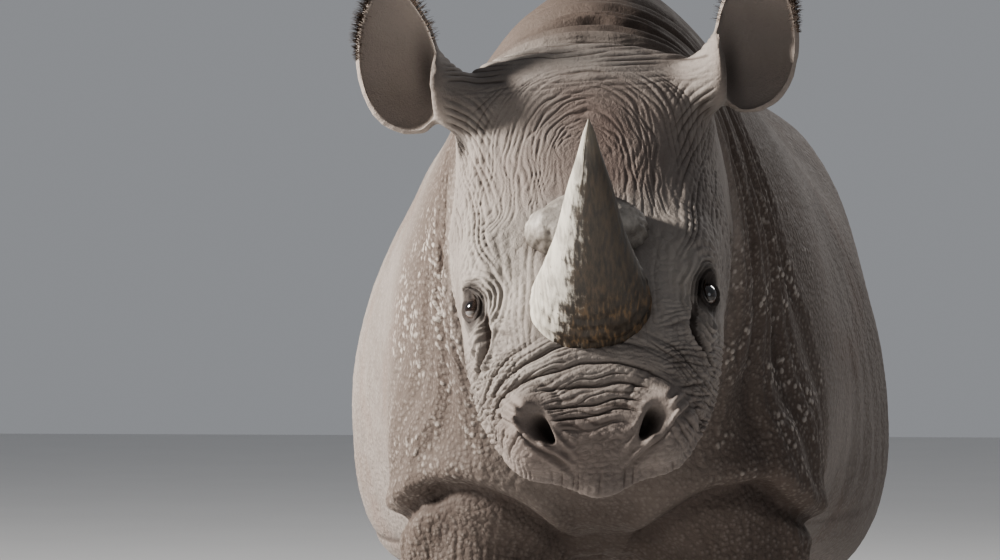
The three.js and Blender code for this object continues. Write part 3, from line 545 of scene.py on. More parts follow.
LID_HALF_LENGTH = 0.0190
LID_HALF_HEIGHT = 0.0128
LID_THICKNESS = 0.0034
LID_TILT = 0.16
NOSTRIL_AT = np.array([0.0765, 0.606, -0.030])
NOSTRIL_INNER_HALF = 0.013  # from its middle to the edge by the nose's middle
NOSTRIL_OUTER_HALF = 0.017
NOSTRIL_HALF_LENGTH = 0.027
NOSTRIL_DEPTH = 0.032


def eye_frame(side):
    """The eye's middle and, as rows, the ways to its front corner, to its upper lid and out."""
    sign = SIDES[side]
    gaze = np.array([sign * 0.56, 0.05, 0.83])
    gaze /= np.linalg.norm(gaze)
    front = np.array([0.0, 1.0, 0.0])
    front -= front @ gaze * gaze
    front /= np.linalg.norm(front)
    upper = np.cross(gaze, front) * sign
    return EYES[side], np.stack([front, upper, gaze]) @ HEAD_AXES


def almond(points, side):
    """Places in the eye's frame, and 1 where the lids' edge is, less between the lids."""
    middle, axes = eye_frame(side)
    a, b, c = ((points - middle) @ axes.T).T
    slant_a = a * math.cos(LID_TILT) - b * math.sin(LID_TILT)
    slant_b = a * math.sin(LID_TILT) + b * math.cos(LID_TILT)
    ring = (np.abs(slant_a) / LID_HALF_LENGTH) ** 1.8 + (np.abs(slant_b) / LID_HALF_HEIGHT) ** 1.5
    return a, b, c, ring


def open_lids(points, side):
    """Wraps the skin round the eyeball and opens it in an almond."""
    middle = EYES[side]
    a, b, c, ring = almond(points, side)
    reach = np.linalg.norm(points - middle, axis=1)
    near = np.flatnonzero((reach < 0.06) & (c > -0.012))
    a, b, c, ring, reach = a[near], b[near], c[near], ring[near], reach[near]
    shell = EYE_RADIUS + LID_THICKNESS
    upper = ramp(b, -0.004, 0.010)
    lid = shell + (0.0014 + 0.0030 * upper) * hump(ring, 1.35, 0.5)
    outside = np.maximum(reach, lid * ramp(c, -0.012, 0.002))
    inside = EYE_RADIUS - 0.007
    edge = ramp(ring, 0.80, 1.06)
    target = np.where(c > 0, inside + (outside - inside) * edge, outside)
    blend = 1 - ramp(reach, shell + 0.012, shell + 0.03)
    target = reach + (target - reach) * np.where(target > reach, blend, 1)
    points[near] = middle + (points[near] - middle) * (target / reach)[:, None]


def nostril_ring(local, sign):
    """1 on the edge of a nostril, less inside; and how far down its length a point lies."""
    x, s, h = (local - NOSTRIL_AT * (sign, 1, 1)).T
    turned = NOSTRIL_SLANT * sign
    v = -x * math.sin(turned) + s * math.cos(turned)
    u = sign * (x * math.cos(turned) + s * math.sin(turned)) + 7.0 * np.maximum(v, 0) ** 2
    half = np.where(u > 0, NOSTRIL_OUTER_HALF, NOSTRIL_INNER_HALF)
    half = half * (1 - 0.22 * np.clip(v / NOSTRIL_HALF_LENGTH, -1, 1))
    ring = (np.abs(u / half) ** 2.3 + np.abs(v / NOSTRIL_HALF_LENGTH) ** 2.3) ** (1 / 2.3)
    return np.where((h > -0.06) & (h < 0.06), ring, 9.0), u, v


def off_nostrils(local):
    """The ring of the nearer nostril that each point lies on."""
    return np.minimum(nostril_ring(local, 1)[0], nostril_ring(local, -1)[0])


def open_nostril(points, sign):
    ring, u, v = nostril_ring(into_head(points), sign)
    inward = np.array([-0.42 * sign, -0.30, -0.86]) @ HEAD_AXES
    flap = 0.012 * hump(u, 0.008, 0.0045) * hump(v, 0.012, 0.016)
    pit = NOSTRIL_DEPTH * (1 - ramp(ring, 0.30, 1.0)) - flap * (ring < 1.2)
    rim = 0.0045 * hump(ring, 1.45, 0.34) * (0.4 + 0.9 * ramp(-v, -0.01, 0.02))
    rim = rim * (0.5 + ramp(u, -0.02, 0.02))
    groove = 0.0030 * hump(ring, 2.9, 0.25) * ramp(-v, 0.0, 0.03)
    cap = 0.0110 * hump(v, -0.046, 0.019) * hump(u, 0.008, 0.024) * ramp(ring, 0.9, 1.4)
    points += (pit - rim - cap + groove)[:, None] * inward


def mouth_way(local):
    """How far a point lies above the line where the lips meet, and where that line runs."""
    s, h = local[:, 1], local[:, 2]
    line = -0.128 + 0.22 * (s - 0.50)
    along = ramp(s, 0.46, 0.56)
    return h - line, along


# Folds that run over the neck behind the crest: place, depth and width
NECK_FOLDS = (
    (0.045, 0.005, 0.008), (0.010, 0.018, 0.016), (-0.026, 0.006, 0.007), (-0.080, 0.023, 0.019),
    (-0.125, 0.007, 0.008), (-0.180, 0.022, 0.020), (-0.225, 0.007, 0.008), (-0.285, 0.015, 0.020),
)


LIP_FOLDS = ((0.570, 0.0062), (0.552, 0.0048), (0.533, 0.0036))  # place and depth
LIP_FOLD_WIDTH = 0.0056
# Creases round the legs: height and depth
LEG_FOLDS = ((0.135, 0.004), (0.165, 0.003), (0.40, 0.0025), (0.435, 0.0025), (0.47, 0.002))
LEG_FOLD_WIDTH = 0.008
RIB_SPACING = 0.078


def lip_folds(local, wander):
    """Heights of the lips: the line between them, a pointed upper lip and slanting folds."""
    x, s, _ = local.T
    wide = np.abs(x)
    way, along = mouth_way(local)
    height = along * (0.014 * crease(way, 0.0065) + 0.005 * hump(way, 0.014, 0.008))
    height += 0.012 * hump(x, 0, 0.035) * hump(way, 0.016, 0.018) * ramp(s, 0.61, 0.65)
    clear = off_nostrils(local)
    reach = ramp(s, 0.54, 0.58) * ramp(wide, 0.025, 0.055) * ramp(clear, 1.15, 1.6)
    for place, depth in LIP_FOLDS:
        slant = 0.79 * s - 0.49 * local[:, 2] + 0.73 * wide - place + 0.4 * wander
        height += depth * crease(slant, LIP_FOLD_WIDTH) * reach
    return height


def open_folds(points):
    """The lips, and the folds of the neck, armpit, flank and joints, as heights."""
    x, y, z = points.T
    wide = np.abs(x)
    head = in_head(points)
    local = into_head(points)
    wander = 0.012 * noise(points, 0.12, 5) + 0.004 * noise(points, 0.035, 6)
    height = head * lip_folds(local, wander)

    behind = (points - HEAD_CUT) @ HEAD_CUT_FACING
    high = ramp(z, 0.95, 1.3)
    ear = head * ramp(np.abs(local[:, 0]), 0.15, 0.18) * (1 - ramp(local[:, 1], 0.12, 0.16))
    for place, depth, width in NECK_FOLDS:
        seed = int(abs(place) * 999)
        fade = 0.35 + 0.65 * high * ramp(noise(points, 0.25, seed), -0.7, 0.1)
        height += depth * fade * crease(behind - place + wander, width) * (y > -0.95) * (1 - ear)

    fore = (y > -0.5) & (y < -0.02) & (wide > 0.03)
    arch = 0.754 - np.where(wide < 0.24, 2.6, 6.0) * (wide - 0.24) ** 2
    under = z - arch + 0.5 * wander
    front = fore * ramp(-y, 0.03, 0.12) * ramp(wide, 0.03, 0.08)
    sleeve = 0.013 * hump(under, 0.022, 0.032) - 0.024 * hump(under, -0.018, 0.022)
    height += front * sleeve

    leg = 1 - ramp(z, 0.62, 0.75)
    for level, depth in LEG_FOLDS:
        height += leg * depth * crease(z - level + wander, LEG_FOLD_WIDTH)

    flank = hump(y - 0.62 + 0.5 * (0.75 - z), 0, 0.4) * ramp(z, 0.5, 0.62) * (1 - ramp(z, 0.9, 1.1))
    height += 0.010 * flank * crease(y - 0.66 + 0.45 * (z - 0.75) + wander, 0.016)
    ribs = ramp(wide, 0.30, 0.42) * ramp(z, 0.6, 0.75) * (1 - ramp(z, 1.15, 1.35))
    ribs *= ramp(y, -0.02, 0.12) * (1 - ramp(y, 0.55, 0.75))
    height += 0.0022 * ribs * np.sin(2 * np.pi * (y + 0.25 * (z - 1) + wander) / RIB_SPACING)
    height += 0.004 * layered(points, 0.22, 9, 2) * (1 - head) * ramp(z, 0.1, 0.3)
    return height


# ---- Wrinkles and pebbles ----

# Rings of skin round an eye: radius, then depth in front of it, by the upper lid, behind it
# and by the lower lid
EYE_RINGS = (
    (0.0215, 0.0056, 0.0050, 0.0052, 0.0016), (0.0275, 0.0068, 0.0034, 0.0024, 0.0026),
    (0.0340, 0.0044, 0.0044, 0.0034, 0.0014), (0.0410, 0.0058, 0.0020, 0.0014, 0.0024),
    (0.0500, 0.0016, 0.0024, 0.0014, 0.0006), (0.0620, 0.0022, 0.0010, 0.0008, 0.0010),
)
EYE_RING_FRONT = 2.05  # how far the rings are drawn out towards the nose, against across
EYE_RING_REAR = 1.30
EYE_RING_POINT = 1.55  # 2 is round, less is more pointed
EYE_BAG_AHEAD = 0.035  # middle of the bagged skin, towards the nose from the eye


def eye_rings(points, side):
    """Heights of the folds and bags that run round an eye, deepest towards the nose."""
    middle, axes = eye_frame(side)
    a, b, c = ((points - middle) @ axes.T).T
    bend = 0.0075 * noise(points, 0.045, 31) + 0.0026 * noise(points, 0.016, 32)
    drawn = a / np.where(a > 0, EYE_RING_FRONT, EYE_RING_REAR)
    power = np.where(a > 0, EYE_RING_POINT, 2.0)
    away = np.maximum((np.abs(drawn) ** power + np.abs(b) ** power) ** (1 / power), 1e-4)
    ring = away + bend
    ahead, above = drawn / away, b / away
    near = hump(c, 0.01, 0.05)
    height = np.zeros(len(points))
    breaks = ramp(noise(points, 0.022, 33), -0.7, 0.1)
    for radius, front, upper, back, lower in EYE_RINGS:
        depth = np.where(ahead > 0, front, back) * ahead**2
        depth += np.where(above > 0, upper, lower) * above**2
        width = 0.0018 + 0.022 * (radius - 0.022)
        height += depth * (0.35 + 0.65 * breaks) * crease(ring - radius, width)
    bag = hump(a, 0.056, 0.022) * hump(b, -0.002, 0.015)
    brow = hump(a, -0.018, 0.030) * hump(b, 0.034, 0.011)
    hood = hump(a, -0.031, 0.008) * hump(b, 0.004, 0.018)
    edge = 0.023 + 0.10 * (a - 0.03) - 19.0 * np.maximum(a - 0.058, 0) ** 2
    slant = crease(b - edge + 0.4 * bend, 0.0066) * ramp(a, 0.010, 0.045)
    slant = slant * (1 - ramp(a, 0.095, 0.115))
    return near * (height + 0.0120 * bag + 0.0050 * brow + 0.0060 * hood + 0.0130 * slant)


BROW_MIDDLE = 0.165  # the forehead's fine creases arch over this place on the face


def wrinkles(points):
    """Heights of the fine relief, and how far each point lies in a crease (0 to 1), where painted
    shade goes.
    """
    head = in_head(points)
    local = into_head(points)
    x, s, h = local.T
    wide = np.abs(x)
    round_head = 0.18 * np.arctan2(x, h + 0.16)  # the way round the head, in metres
    stray = np.stack([noise(points, 0.05, seed) for seed in (41, 42, 43)], axis=1)
    warped = points + 0.007 * stray
    q = into_head(warped)
    height = np.zeros(len(points))
    valley = np.zeros(len(points))
    ear = head * ramp(wide, 0.185, 0.205) * (s < 0.14)
    nostrils = off_nostrils(local)
    caps = [nostril_ring(local, sign)[1:] for sign in (1, -1)]
    smooth = sum(hump(v, -0.042, 0.028) * hump(u, 0.008, 0.032) for u, v in caps)
    plain = (1 - ear) * ramp(nostrils, 0.9, 2.3) * (1 - 0.9 * ramp(smooth, 0.1, 0.7))
    for side in EYES:
        middle, axes = eye_frame(side)
        away = np.linalg.norm(points - middle - EYE_BAG_AHEAD * axes[0], axis=1)
        plain *= 1 - 0.8 * hump(away, 0, 0.055)

    def mark(spots, cut, rise, depth):
        height[spots] += depth * (rise - cut)
        valley[spots] = np.maximum(valley[spots], cut * min(1, depth / 0.0012))

    def net(weight, coordinates, size, seed, depth, width=0.11):
        """Adds a net of creases where weight is above zero."""
        spots = np.flatnonzero(weight * plain > 0.02)
        share = (weight * plain)[spots]
        edge, _ = cells(coordinates[spots], size, seed)
        mark(spots, np.exp(-((edge / width) ** 2)) * share, 0.7 * ramp(edge, 0, 0.4) * share, depth)

    def lines(weight, across, along, spacing, seed, depth, wander=1.1, width=0.15):
        """Adds long wavy creases, spacing apart across one way, that fade in and out along
        the other."""
        spots = np.flatnonzero(weight * plain > 0.02)
        share = (weight * plain)[spots]
        flat = np.stack([across[spots], along[spots], 0 * along[spots]], axis=1) / spacing
        wave = wander * noise(flat / (3.2, 12.0, 1), 1, seed)
        wave = wave + 0.35 * wander * noise(flat / (1.5, 4.0, 1), 1, seed + 1)
        phase = flat[:, 0] + wave
        way = np.abs(phase - np.round(phase))
        fade = ramp(noise(flat / (1.1, 8.0, 1), 1, seed + 2), -0.55, 0.20)
        cut = np.exp(-((way / width) ** 2)) * share * fade
        mark(spots, cut, 0.5 * ramp(way, 0, 0.5) * share, depth)

    front_face = head * ramp(h, -0.20, -0.12)
    forehead = front_face * (1 - ramp(s, 0.24, 0.32)) * ramp(s, 0.0, 0.05)
    above = np.maximum(BROW_MIDDLE - s, 0)
    arch = np.hypot(round_head, above)
    run = 0.1 * np.arctan2(round_head, above) + np.sign(x) * np.maximum(s - BROW_MIDDLE, 0)
    forehead *= 0.25 + 0.75 * ramp(arch, 0.02, 0.07)
    lines(forehead, arch, run, 0.0078, 50, 0.0009, 1.6, 0.17)
    lines(forehead, arch + 0.22 * s, run, 0.0120, 53, 0.0006, 1.6)
    crown = head * (1 - ramp(s, 0.02, 0.08))
    lines(crown, s - 0.6 * h, x, 0.0095, 56, 0.0013)
    temple = head * ramp(wide, 0.115, 0.155) * (1 - ramp(s, 0.33, 0.38)) * ramp(s, 0.02, 0.08)
    out = np.abs(round_head)
    lines(temple, out + 0.34 * s, s, 0.0105, 59, 0.0017)
    lines(temple, out - 0.62 * s, s, 0.0135, 62, 0.0008)
    middle_face = front_face * ramp(s, 0.26, 0.32) * (1 - ramp(s, 0.47, 0.52))
    lines(middle_face, round_head, s, 0.0115, 65, 0.0007)
    net(middle_face * ramp(wide, 0.06, 0.10), q, (0.014, 0.020, 0.016), 66, 0.0006)

    arc = s - 2.6 * x * x + 0.010 * stray[:, 0]
    snout = head * ramp(s, 0.465, 0.50) * (1 - ramp(s, 0.60, 0.64)) * ramp(h, -0.12, -0.05)
    lines(snout, arc, x, 0.027, 70, 0.0042, 1.0, 0.09)
    lines(snout, arc, x, 0.0082, 73, 0.0012, 1.6, 0.18)
    net(snout, q, (0.016, 0.0080, 0.012), 76, 0.0005, 0.13)
    cheek = head * ramp(wide, 0.085, 0.12) * ramp(s, 0.39, 0.45) * (1 - ramp(s, 0.57, 0.63))
    lines(cheek, s + 0.35 * out, out, 0.0098, 79, 0.0025, 1.6, 0.13)
    net(cheek, q, (0.015, 0.0085, 0.012), 82, 0.0009, 0.11)
    lips = head * ramp(s, 0.585, 0.62)
    net(lips, q, (0.015, 0.0065, 0.0085), 88, 0.0007, 0.13)
    pleats = head * ramp(s, 0.60, 0.64) * hump(mouth_way(local)[0], 0.022, 0.022)
    lines(pleats, x + 0.15 * s, s + h, 0.0105, 86, 0.0012)
    side_face = head * ramp(-h, 0.10, 0.16) * ramp(s, 0.08, 0.14)
    net(side_face, warped, (0.020, 0.016, 0.022), 90, 0.0010)

    y, z = points[:, 1], points[:, 2]
    body = 1 - head
    neck = body * ramp(-y, 0.38, 0.50) * (1 - ramp(z, 1.22, 1.36))
    round_neck = 0.45 * np.arctan2(points[:, 0], 0.05 - y)
    lines(neck, round_neck, z, 0.034, 91, 0.0036, 0.9, 0.13)
    lines(neck, round_neck + 0.2 * z, z, 0.0125, 94, 0.0010)
    limbs = body * (1 - ramp(z, 0.60, 0.74))
    around = 0.13 * np.arctan2(points[:, 0] - 0.24 * np.sign(points[:, 0]), -y - 0.2)
    lines(limbs * ramp(z, 0.28, 0.45), around, z, 0.018, 97, 0.0022)
    net(limbs, warped, (0.016, 0.016, 0.024), 100, 0.0006)
    flank = body * ramp(z, 0.60, 0.74) * (1 - 0.7 * neck)
    lines(flank * ramp(y, -0.05, 0.15), y + 0.35 * z, z, 0.030, 103, 0.0006, 1.3)
    net(flank * (1 - ramp(z, 1.25, 1.4)), warped, (0.018, 0.016, 0.022), 106, 0.0004)
    for side in EYES:
        rings = eye_rings(points, side)
        height += rings
        valley = np.maximum(valley, ramp(-rings, 0.0006, 0.0030))
    return height, valley * (1 - ear)


PEBBLE_CELL = (0.0128, 0.0128, 0.0138)
PEBBLE_HEIGHT = 0.0034


def pebbles(points):
    """Round raised spots on the shoulders, in clumps, from 0 to 1."""
    wide = np.abs(points[:, 0])
    y, z = points[:, 1], points[:, 2]
    shoulder = hump(y, -0.40, 0.34) * ramp(wide, 0.14, 0.21) * (1 - 0.7 * ramp(wide, 0.36, 0.44))
    shoulder *= hump(z, 0.98, 0.28)
    clump = ramp(layered(points, 0.13, 91, 3), -0.60, 0.15) * ramp(noise(points, 0.040, 96), -0.6, 0.4)
    spots = np.flatnonzero(shoulder > 0.03)
    _, middle = cells(points[spots], PEBBLE_CELL, 95)
    raised = np.zeros(len(points))
    raised[spots] = (1 - ramp(middle, 0.20, 0.52)) * (shoulder * clump)[spots]
    return raised


def add_floats(mesh, **values):
    for name, array in values.items():
        layer = mesh.attributes.new(name, "FLOAT", "POINT")
        layer.data.foreach_set("value", array.astype(np.float32))


# ---- The map that the skin is baked through ----
# Each part is unrolled round an axis of its own, in its own box of the map.

LEGS = [(leg, side) for leg in ("foreleg", "hindleg") for side in ("left", "right")]
LEG_REACH = 0.20
LEG_TOP = 0.60
TAIL_FRONT = 1.335
MAP_MARGIN = 0.03  # kept clear at both sides of a part's box
UP = np.array([0.0, 0.0, 1.0])
X_WAY = np.array([1.0, 0.0, 0.0])
Y_WAY = np.array([0.0, 1.0, 0.0])


def map_parts():
    """For each part: a point on its axis, the ways to angle 90 and 0, the way along it, the
    ends along that, and its box of the map as left, bottom, width and height."""
    parts = {
        "head": (CREST - 0.16 * OUT, ACROSS, OUT, DOWN, (-0.14, 0.74), (0.0, 0.42, 0.62, 0.58)),
        "trunk": (UP, X_WAY, UP, Y_WAY, (-0.92, 1.46), (0.0, 0.0, 0.74, 0.42)),
        "tail": (box_middle("tail"), X_WAY, Y_WAY, UP, (-0.6, 0.5), (0.74, 0.36, 0.26, 0.06)),
    }
    for i, (leg, side) in enumerate(LEGS):
        box = (0.62 + 0.19 * (i % 2), 0.42 + 0.29 * (i // 2), 0.19, 0.29)
        middle = box_middle(f"{leg}_{side}") * (1, 1, 0)
        parts[f"{leg}_{side}"] = (middle, X_WAY, -Y_WAY, UP, (-0.02, 0.66), box)
    for i, side in enumerate(EYES):
        for j, face in enumerate(("outer", "inner")):
            box = (0.74 + 0.13 * i, 0.18 * j, 0.13, 0.18)
            middle = box_middle(f"ear_{side}")
            parts[f"{face}_{side}"] = (middle, X_WAY, -Y_WAY, UP, (-0.17, 0.17), box)
    return parts


def unrolled(part, points):
    """The angle round a part's axis and the share of the way along it."""
    middle, side, ahead, along, (low, high), _ = part
    away = points - middle
    return np.arctan2(away @ side, away @ ahead), (away @ along - low) / (high - low)


def part_of(parts, middles, facing):
    """Which part each face belongs to, by its middle and the way it faces."""
    names = list(parts)
    x, y, z = middles.T
    local = into_head(middles)
    chosen = np.full(len(middles), names.index("trunk"))
    chosen[in_head(middles) > 0.5] = names.index("head")
    chosen[y > TAIL_FRONT] = names.index("tail")
    for leg, side in LEGS:
        middle = parts[f"{leg}_{side}"][0]
        reach = np.hypot(x - middle[0], y - middle[1])
        chosen[(reach < LEG_REACH) & (z < LEG_TOP)] = names.index(f"{leg}_{side}")
    ear = (np.abs(local[:, 0]) > 0.2) & (local[:, 1] < 0.16) & (in_head(middles) > 0.5)
    for side, sign in SIDES.items():
        outward = (middles - parts[f"outer_{side}"][0]) * (1, 1, 0)
        inner = np.sum(outward * facing, axis=1) < 0
        mine = ear & (local[:, 0] * sign > 0)
        chosen[mine & ~inner] = names.index(f"outer_{side}")
        chosen[mine & inner] = names.index(f"inner_{side}")
    return names, chosen


def lay_out(mesh, points, faces, normals):
    """Writes the skin's map. A face that crosses a seam stays in one piece."""
    parts = map_parts()
    middles = points[faces].mean(axis=1)
    names, chosen = part_of(parts, middles, normals[faces[:, 0]])
    map_places = np.zeros((len(faces), 3, 2), np.float32)
    for number, name in enumerate(names):
        mine = np.flatnonzero(chosen == number)
        part = parts[name]
        centre, _ = unrolled(part, middles[mine])
        angle, along = unrolled(part, points[faces[mine]].reshape(-1, 3))
        angle = angle.reshape(-1, 3) - centre[:, None]
        angle = centre[:, None] + (angle + np.pi) % (2 * np.pi) - np.pi
        left, bottom, width, height = part[-1]
        around = MAP_MARGIN + (1 - 2 * MAP_MARGIN) * (angle / (2 * np.pi) + 0.5)
        along = np.clip(along.reshape(-1, 3), 0.01, 0.99)
        map_places[mine, :, 0] = left + width * around
        map_places[mine, :, 1] = bottom + height * along
    layer = mesh.uv_layers.new(name="OFBake")
    layer.data.foreach_set("uv", map_places.ravel())


# ---- The skin ----


def skin_marks(points, normals):
    """How much of each tint a point takes, from 0 to 1, and where the skin is grained. Some tints are
    painted shade.
    """
    x, s, h = into_head(points).T
    head = in_head(points)
    body = 1 - head
    wide = np.abs(x)
    ahead, z = -points[:, 1], points[:, 2]
    ear = head * ramp(wide, 0.19, 0.21) * (s < 0.13)
    inner_ear = ear * ramp(-normals[:, 1], 0.15, 0.60)
    # The chest below the head is painted darker: painted shade under the head.
    painted_chest_shade = body * hump(points[:, 0], 0, 0.30) * ramp(ahead, 0.05, 0.30)
    nape = ramp(ahead, 0.15, 0.35) * ramp(z, 1.24, 1.38)
    return {
        "head": head,
        "inner_ear": inner_ear,
        # Painted shade deep in each ear's cup, by its root.
        "hollow": inner_ear * hump(wide, 0.222, 0.018) * hump(z, 1.395, 0.055),
        "warm": head * hump(x - 0.03, 0, 0.09) * ramp(s, 0.0, 0.08) * (1 - ramp(s, 0.2, 0.27)),
        "muzzle": head * ramp(s, 0.50, 0.60),
        "pale": head * hump(wide, 0.12, 0.06) * hump(s, 0.36, 0.12) * ramp(h, -0.12, -0.04),
        "painted_chest_shade": painted_chest_shade * (1 - ramp(z, 0.95, 1.15)),
        # Neck and shoulders painted darker than the head: painted shade behind the lit head, partly a
        # darker body tone.
        "shoulders": body * ramp(ahead, -0.05, 0.25),
        "grain": body * (1 - nape),
    }


def make_skin():
    points, faces = skin_form()
    local = into_head(points)
    # Painted shade deep inside each nostril.
    painted_nostril_shade = np.zeros(len(points))
    for side, sign in SIDES.items():
        ring = nostril_ring(local, sign)[0]
        painted_nostril_shade = np.maximum(painted_nostril_shade, 0.8 * (1 - ramp(ring, 0.45, 1.0)))
        open_lids(points, side)
        open_nostril(points, sign)
    standing = ramp(points[:, 2], 0.002, 0.02)
    normals = normals_of(points, faces)
    folds = open_folds(points)
    points += normals * (folds * standing)[:, None]
    # Darker skin round each eye opening: the lids' own dark colour, spread wider as painted shade
    # under the brow and lids.
    dark = np.zeros(len(points))
    for side in EYES:
        _, _, c, ring = almond(points, side)
        dark = np.maximum(dark, (1 - ramp(ring, 1.6, 5.0)) * (c > -0.01))
    normals = normals_of(points, faces)
    height, valley = wrinkles(points)
    # The bottoms of the deep folds join the creases that are painted with shade.
    valley = np.maximum(valley, 0.9 * ramp(-folds, 0.0035, 0.0110))
    raised = pebbles(points)
    points += normals * ((height + PEBBLE_HEIGHT * raised) * standing)[:, None]
    points[:, 2] = np.maximum(points[:, 2], 0)
    skin = object_from("skin", points, faces)
    marks = skin_marks(points, normals)
    # dark holds the eyes' dark lids with painted shade round them, and the painted shade in the
    # nostrils and ear cups.
    marks["dark"] = np.maximum.reduce([dark, painted_nostril_shade, 0.8 * marks.pop("hollow")])
    add_floats(skin.data, valley=valley, raised=raised, **marks)
    lay_out(skin.data, points, faces, normals)
    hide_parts(*FLESH)
    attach(skin, "root")
    return skin


# ---- Horns ----
# Rings of points in the head's frame, foot first, with fibres and growth rings in relief.

HORN_SIDES = 144
FRONT_HORN = {
    "rings": 260, "radius": 0.087, "flatness": 0.85, "bow": 0.016,
    "foot": (0.0, 0.425, -0.008), "tip": (0.020, 0.390, 0.427),
    "taper": curve(
        (0, 1), (0.08, 0.985), (0.16, 0.87), (0.3, 0.71), (0.46, 0.53), (0.68, 0.345),
        (0.85, 0.16), (1, 0.012),
    ),
}
REAR_HORN = {
    "rings": 90, "radius": 0.084, "flatness": 0.54, "bow": 0.0,
    "foot": (0.0, 0.302, -0.022), "tip": (0.0, 0.302, 0.056),
    "taper": curve((0, 1), (0.45, 0.98), (0.75, 0.88), (0.93, 0.68), (0.99, 0.40), (1, 0.0)),
}


def horn_rings(form):
    """The horn's rings, and for each point the share of the way up and the angle round."""
    t = np.linspace(0, 1, form["rings"])[:, None]
    angle = round_angles(HORN_SIDES)[None, :]
    foot, tip = np.array(form["foot"]), np.array(form["tip"])
    radius = form["radius"] * form["taper"](t)
    x = foot[0] + (tip[0] - foot[0]) * t + radius * np.cos(angle)
    s = foot[1] + (tip[1] - foot[1]) * t + form["bow"] * np.sin(np.pi * t)
    s = s + radius * form["flatness"] * np.sin(angle)
    h = foot[2] + (tip[2] - foot[2]) * t + 0 * angle
    rings = from_head(np.stack([x, s, h], axis=2).reshape(-1, 3)).reshape(*x.shape, 3)
    return rings, t + 0 * angle, angle + 0 * t


def horn_piece(name, node, form, relief):
    rings, t, angle = horn_rings(form)
    points, faces = tube(rings)
    normals = normals_of(points, faces)
    t = np.append(t.ravel(), [0, 1])
    angle = np.append(angle.ravel(), [0, 0])
    points += normals * relief(points, t, angle)[:, None]
    piece = object_from(name, points, faces)
    add_floats(piece.data, rise=t)
    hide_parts(node)
    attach(piece, "root")
    return piece


def fibre_places(t, angle):
    """Places on a drawn-out sheet, so that noise runs in fibres up the horn."""
    return np.stack([np.cos(angle) * 0.08, np.sin(angle) * 0.08, t * 0.06], axis=1)


def front_horn_relief(points, t, angle):
    fibres = layered(fibre_places(t, angle), 0.010, 110, 3)
    root = 1 - ramp(t, 0.10, 0.42)
    ragged = noise(points, 0.012, 114) * (1 - ramp(t, 0.08, 0.22))
    growth = np.sin(2 * np.pi * (t * 16 + 0.35 * noise(points, 0.05, 115)))
    ends = 1 - ramp(t, 0.93, 1)
    collar = 0.004 * hump(t, 0.07, 0.05)
    relief = 0.0011 * fibres * (0.4 + root) + 0.0012 * ragged + 0.0007 * growth * root
    return ends * (relief + collar - 0.002)


def rear_horn_relief(points, t, angle):
    fibres = layered(fibre_places(t * 0.3, angle), 0.009, 120, 3)
    lumps = noise(points, 0.035, 121) + 0.5 * noise(points, 0.014, 122)
    pores = noise(points, 0.006, 123)
    rough = 0.0030 * fibres * (1 - ramp(t, 0.55, 0.85)) + 0.0034 * lumps + 0.0009 * pores
    return rough * (1 - 0.6 * ramp(t, 0.9, 1)) - 0.003


# ---- Eyes and nails ----


def ball(radius, rings=40, sides=64):
    polar = np.linspace(0, np.pi, rings + 2)[1:-1, None]
    angle = round_angles(sides)[None, :]
    x = radius * np.sin(polar) * np.cos(angle)
    y = radius * np.sin(polar) * np.sin(angle)
    return tube(np.stack([x, y, radius * np.cos(polar) + 0 * angle], axis=2)[::-1])


IRIS_REACH = 0.95  # radians from the gaze to where the attribute iris is 1


def make_eye(side):
    """An eyeball. Its attribute iris runs from 0 where the gaze leaves it to 1 at the white."""
    middle, axes = eye_frame(side)
    points, faces = ball(EYE_RADIUS - 0.0004)
    polar = np.arccos(np.clip(points[:, 2] / EYE_RADIUS, -1, 1))
    if side == "left":
        faces = faces[:, ::-1]
    iris = np.clip(polar / IRIS_REACH, 0, 1)
    piece = object_from(f"eyeball_{side}", points @ axes + middle, faces)
    if np.linalg.det(axes) < 0:
        piece.data.flip_normals()
    add_floats(piece.data, iris=iris)
    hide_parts(f"eye_{side}")
    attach(piece, "root")
    return piece


# Angle round the foot in degrees, half width and half height of each nail; its lower part
# is flattened to its clearance off the floor
NAIL_TOES = {"inner": (52, 0.036, 0.034), "middle": (0, 0.050, 0.040), "outer": (-52, 0.036, 0.034)}
NAIL_HALF_DEPTH = 0.025
NAIL_TILT = -0.3
NAIL_CLEARANCE = 0.004


def make_nails(leg, side):
    """The three nails of a foot: rounded plates, flat below, with fine upright ridges."""
    sign = SIDES[side]
    parts = []
    nodes = []
    for toe, (degrees, half_width, half_height) in NAIL_TOES.items():
        node = f"nail_{leg}_{side}_{toe}"
        middle = box_middle(node)
        middle[2] = NAIL_CLEARANCE + 0.45 * half_height
        points, faces = ball(1.0)
        ridges = 0.012 * np.sin(points[:, 0] * 42) + 0.02 * noise(points, 0.25, 130 + len(nodes))
        points = points * (1 + ridges * (points[:, 1] < 0))[:, None]
        points = points * (half_width, NAIL_HALF_DEPTH, half_height)
        placing = Matrix.Rotation(-math.radians(degrees) * sign, 3, "Z")
        placing = placing @ Matrix.Rotation(NAIL_TILT, 3, "X")
        points = points @ np.array(placing).T + middle
        points[:, 2] = np.maximum(points[:, 2], NAIL_CLEARANCE)
        parts.append((points, faces))
        nodes.append(node)
    piece = object_from(f"nails_{leg}_{side}", *joined(parts))
    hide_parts(*nodes)
    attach(piece, "root")
    return piece


# ---- Hair ----
# Each tuft is a tapering three-sided blade that bends as it leaves the skin.

BLADE_END = 0.00012  # half the width of its tip
FRINGE_HAIRS = 900  # round each ear
TAIL_HAIRS = 1500
LASHES = 70  # on each upper lid
PATCH_SPREAD = 0.0015  # half the width of a tuft's patch on its map


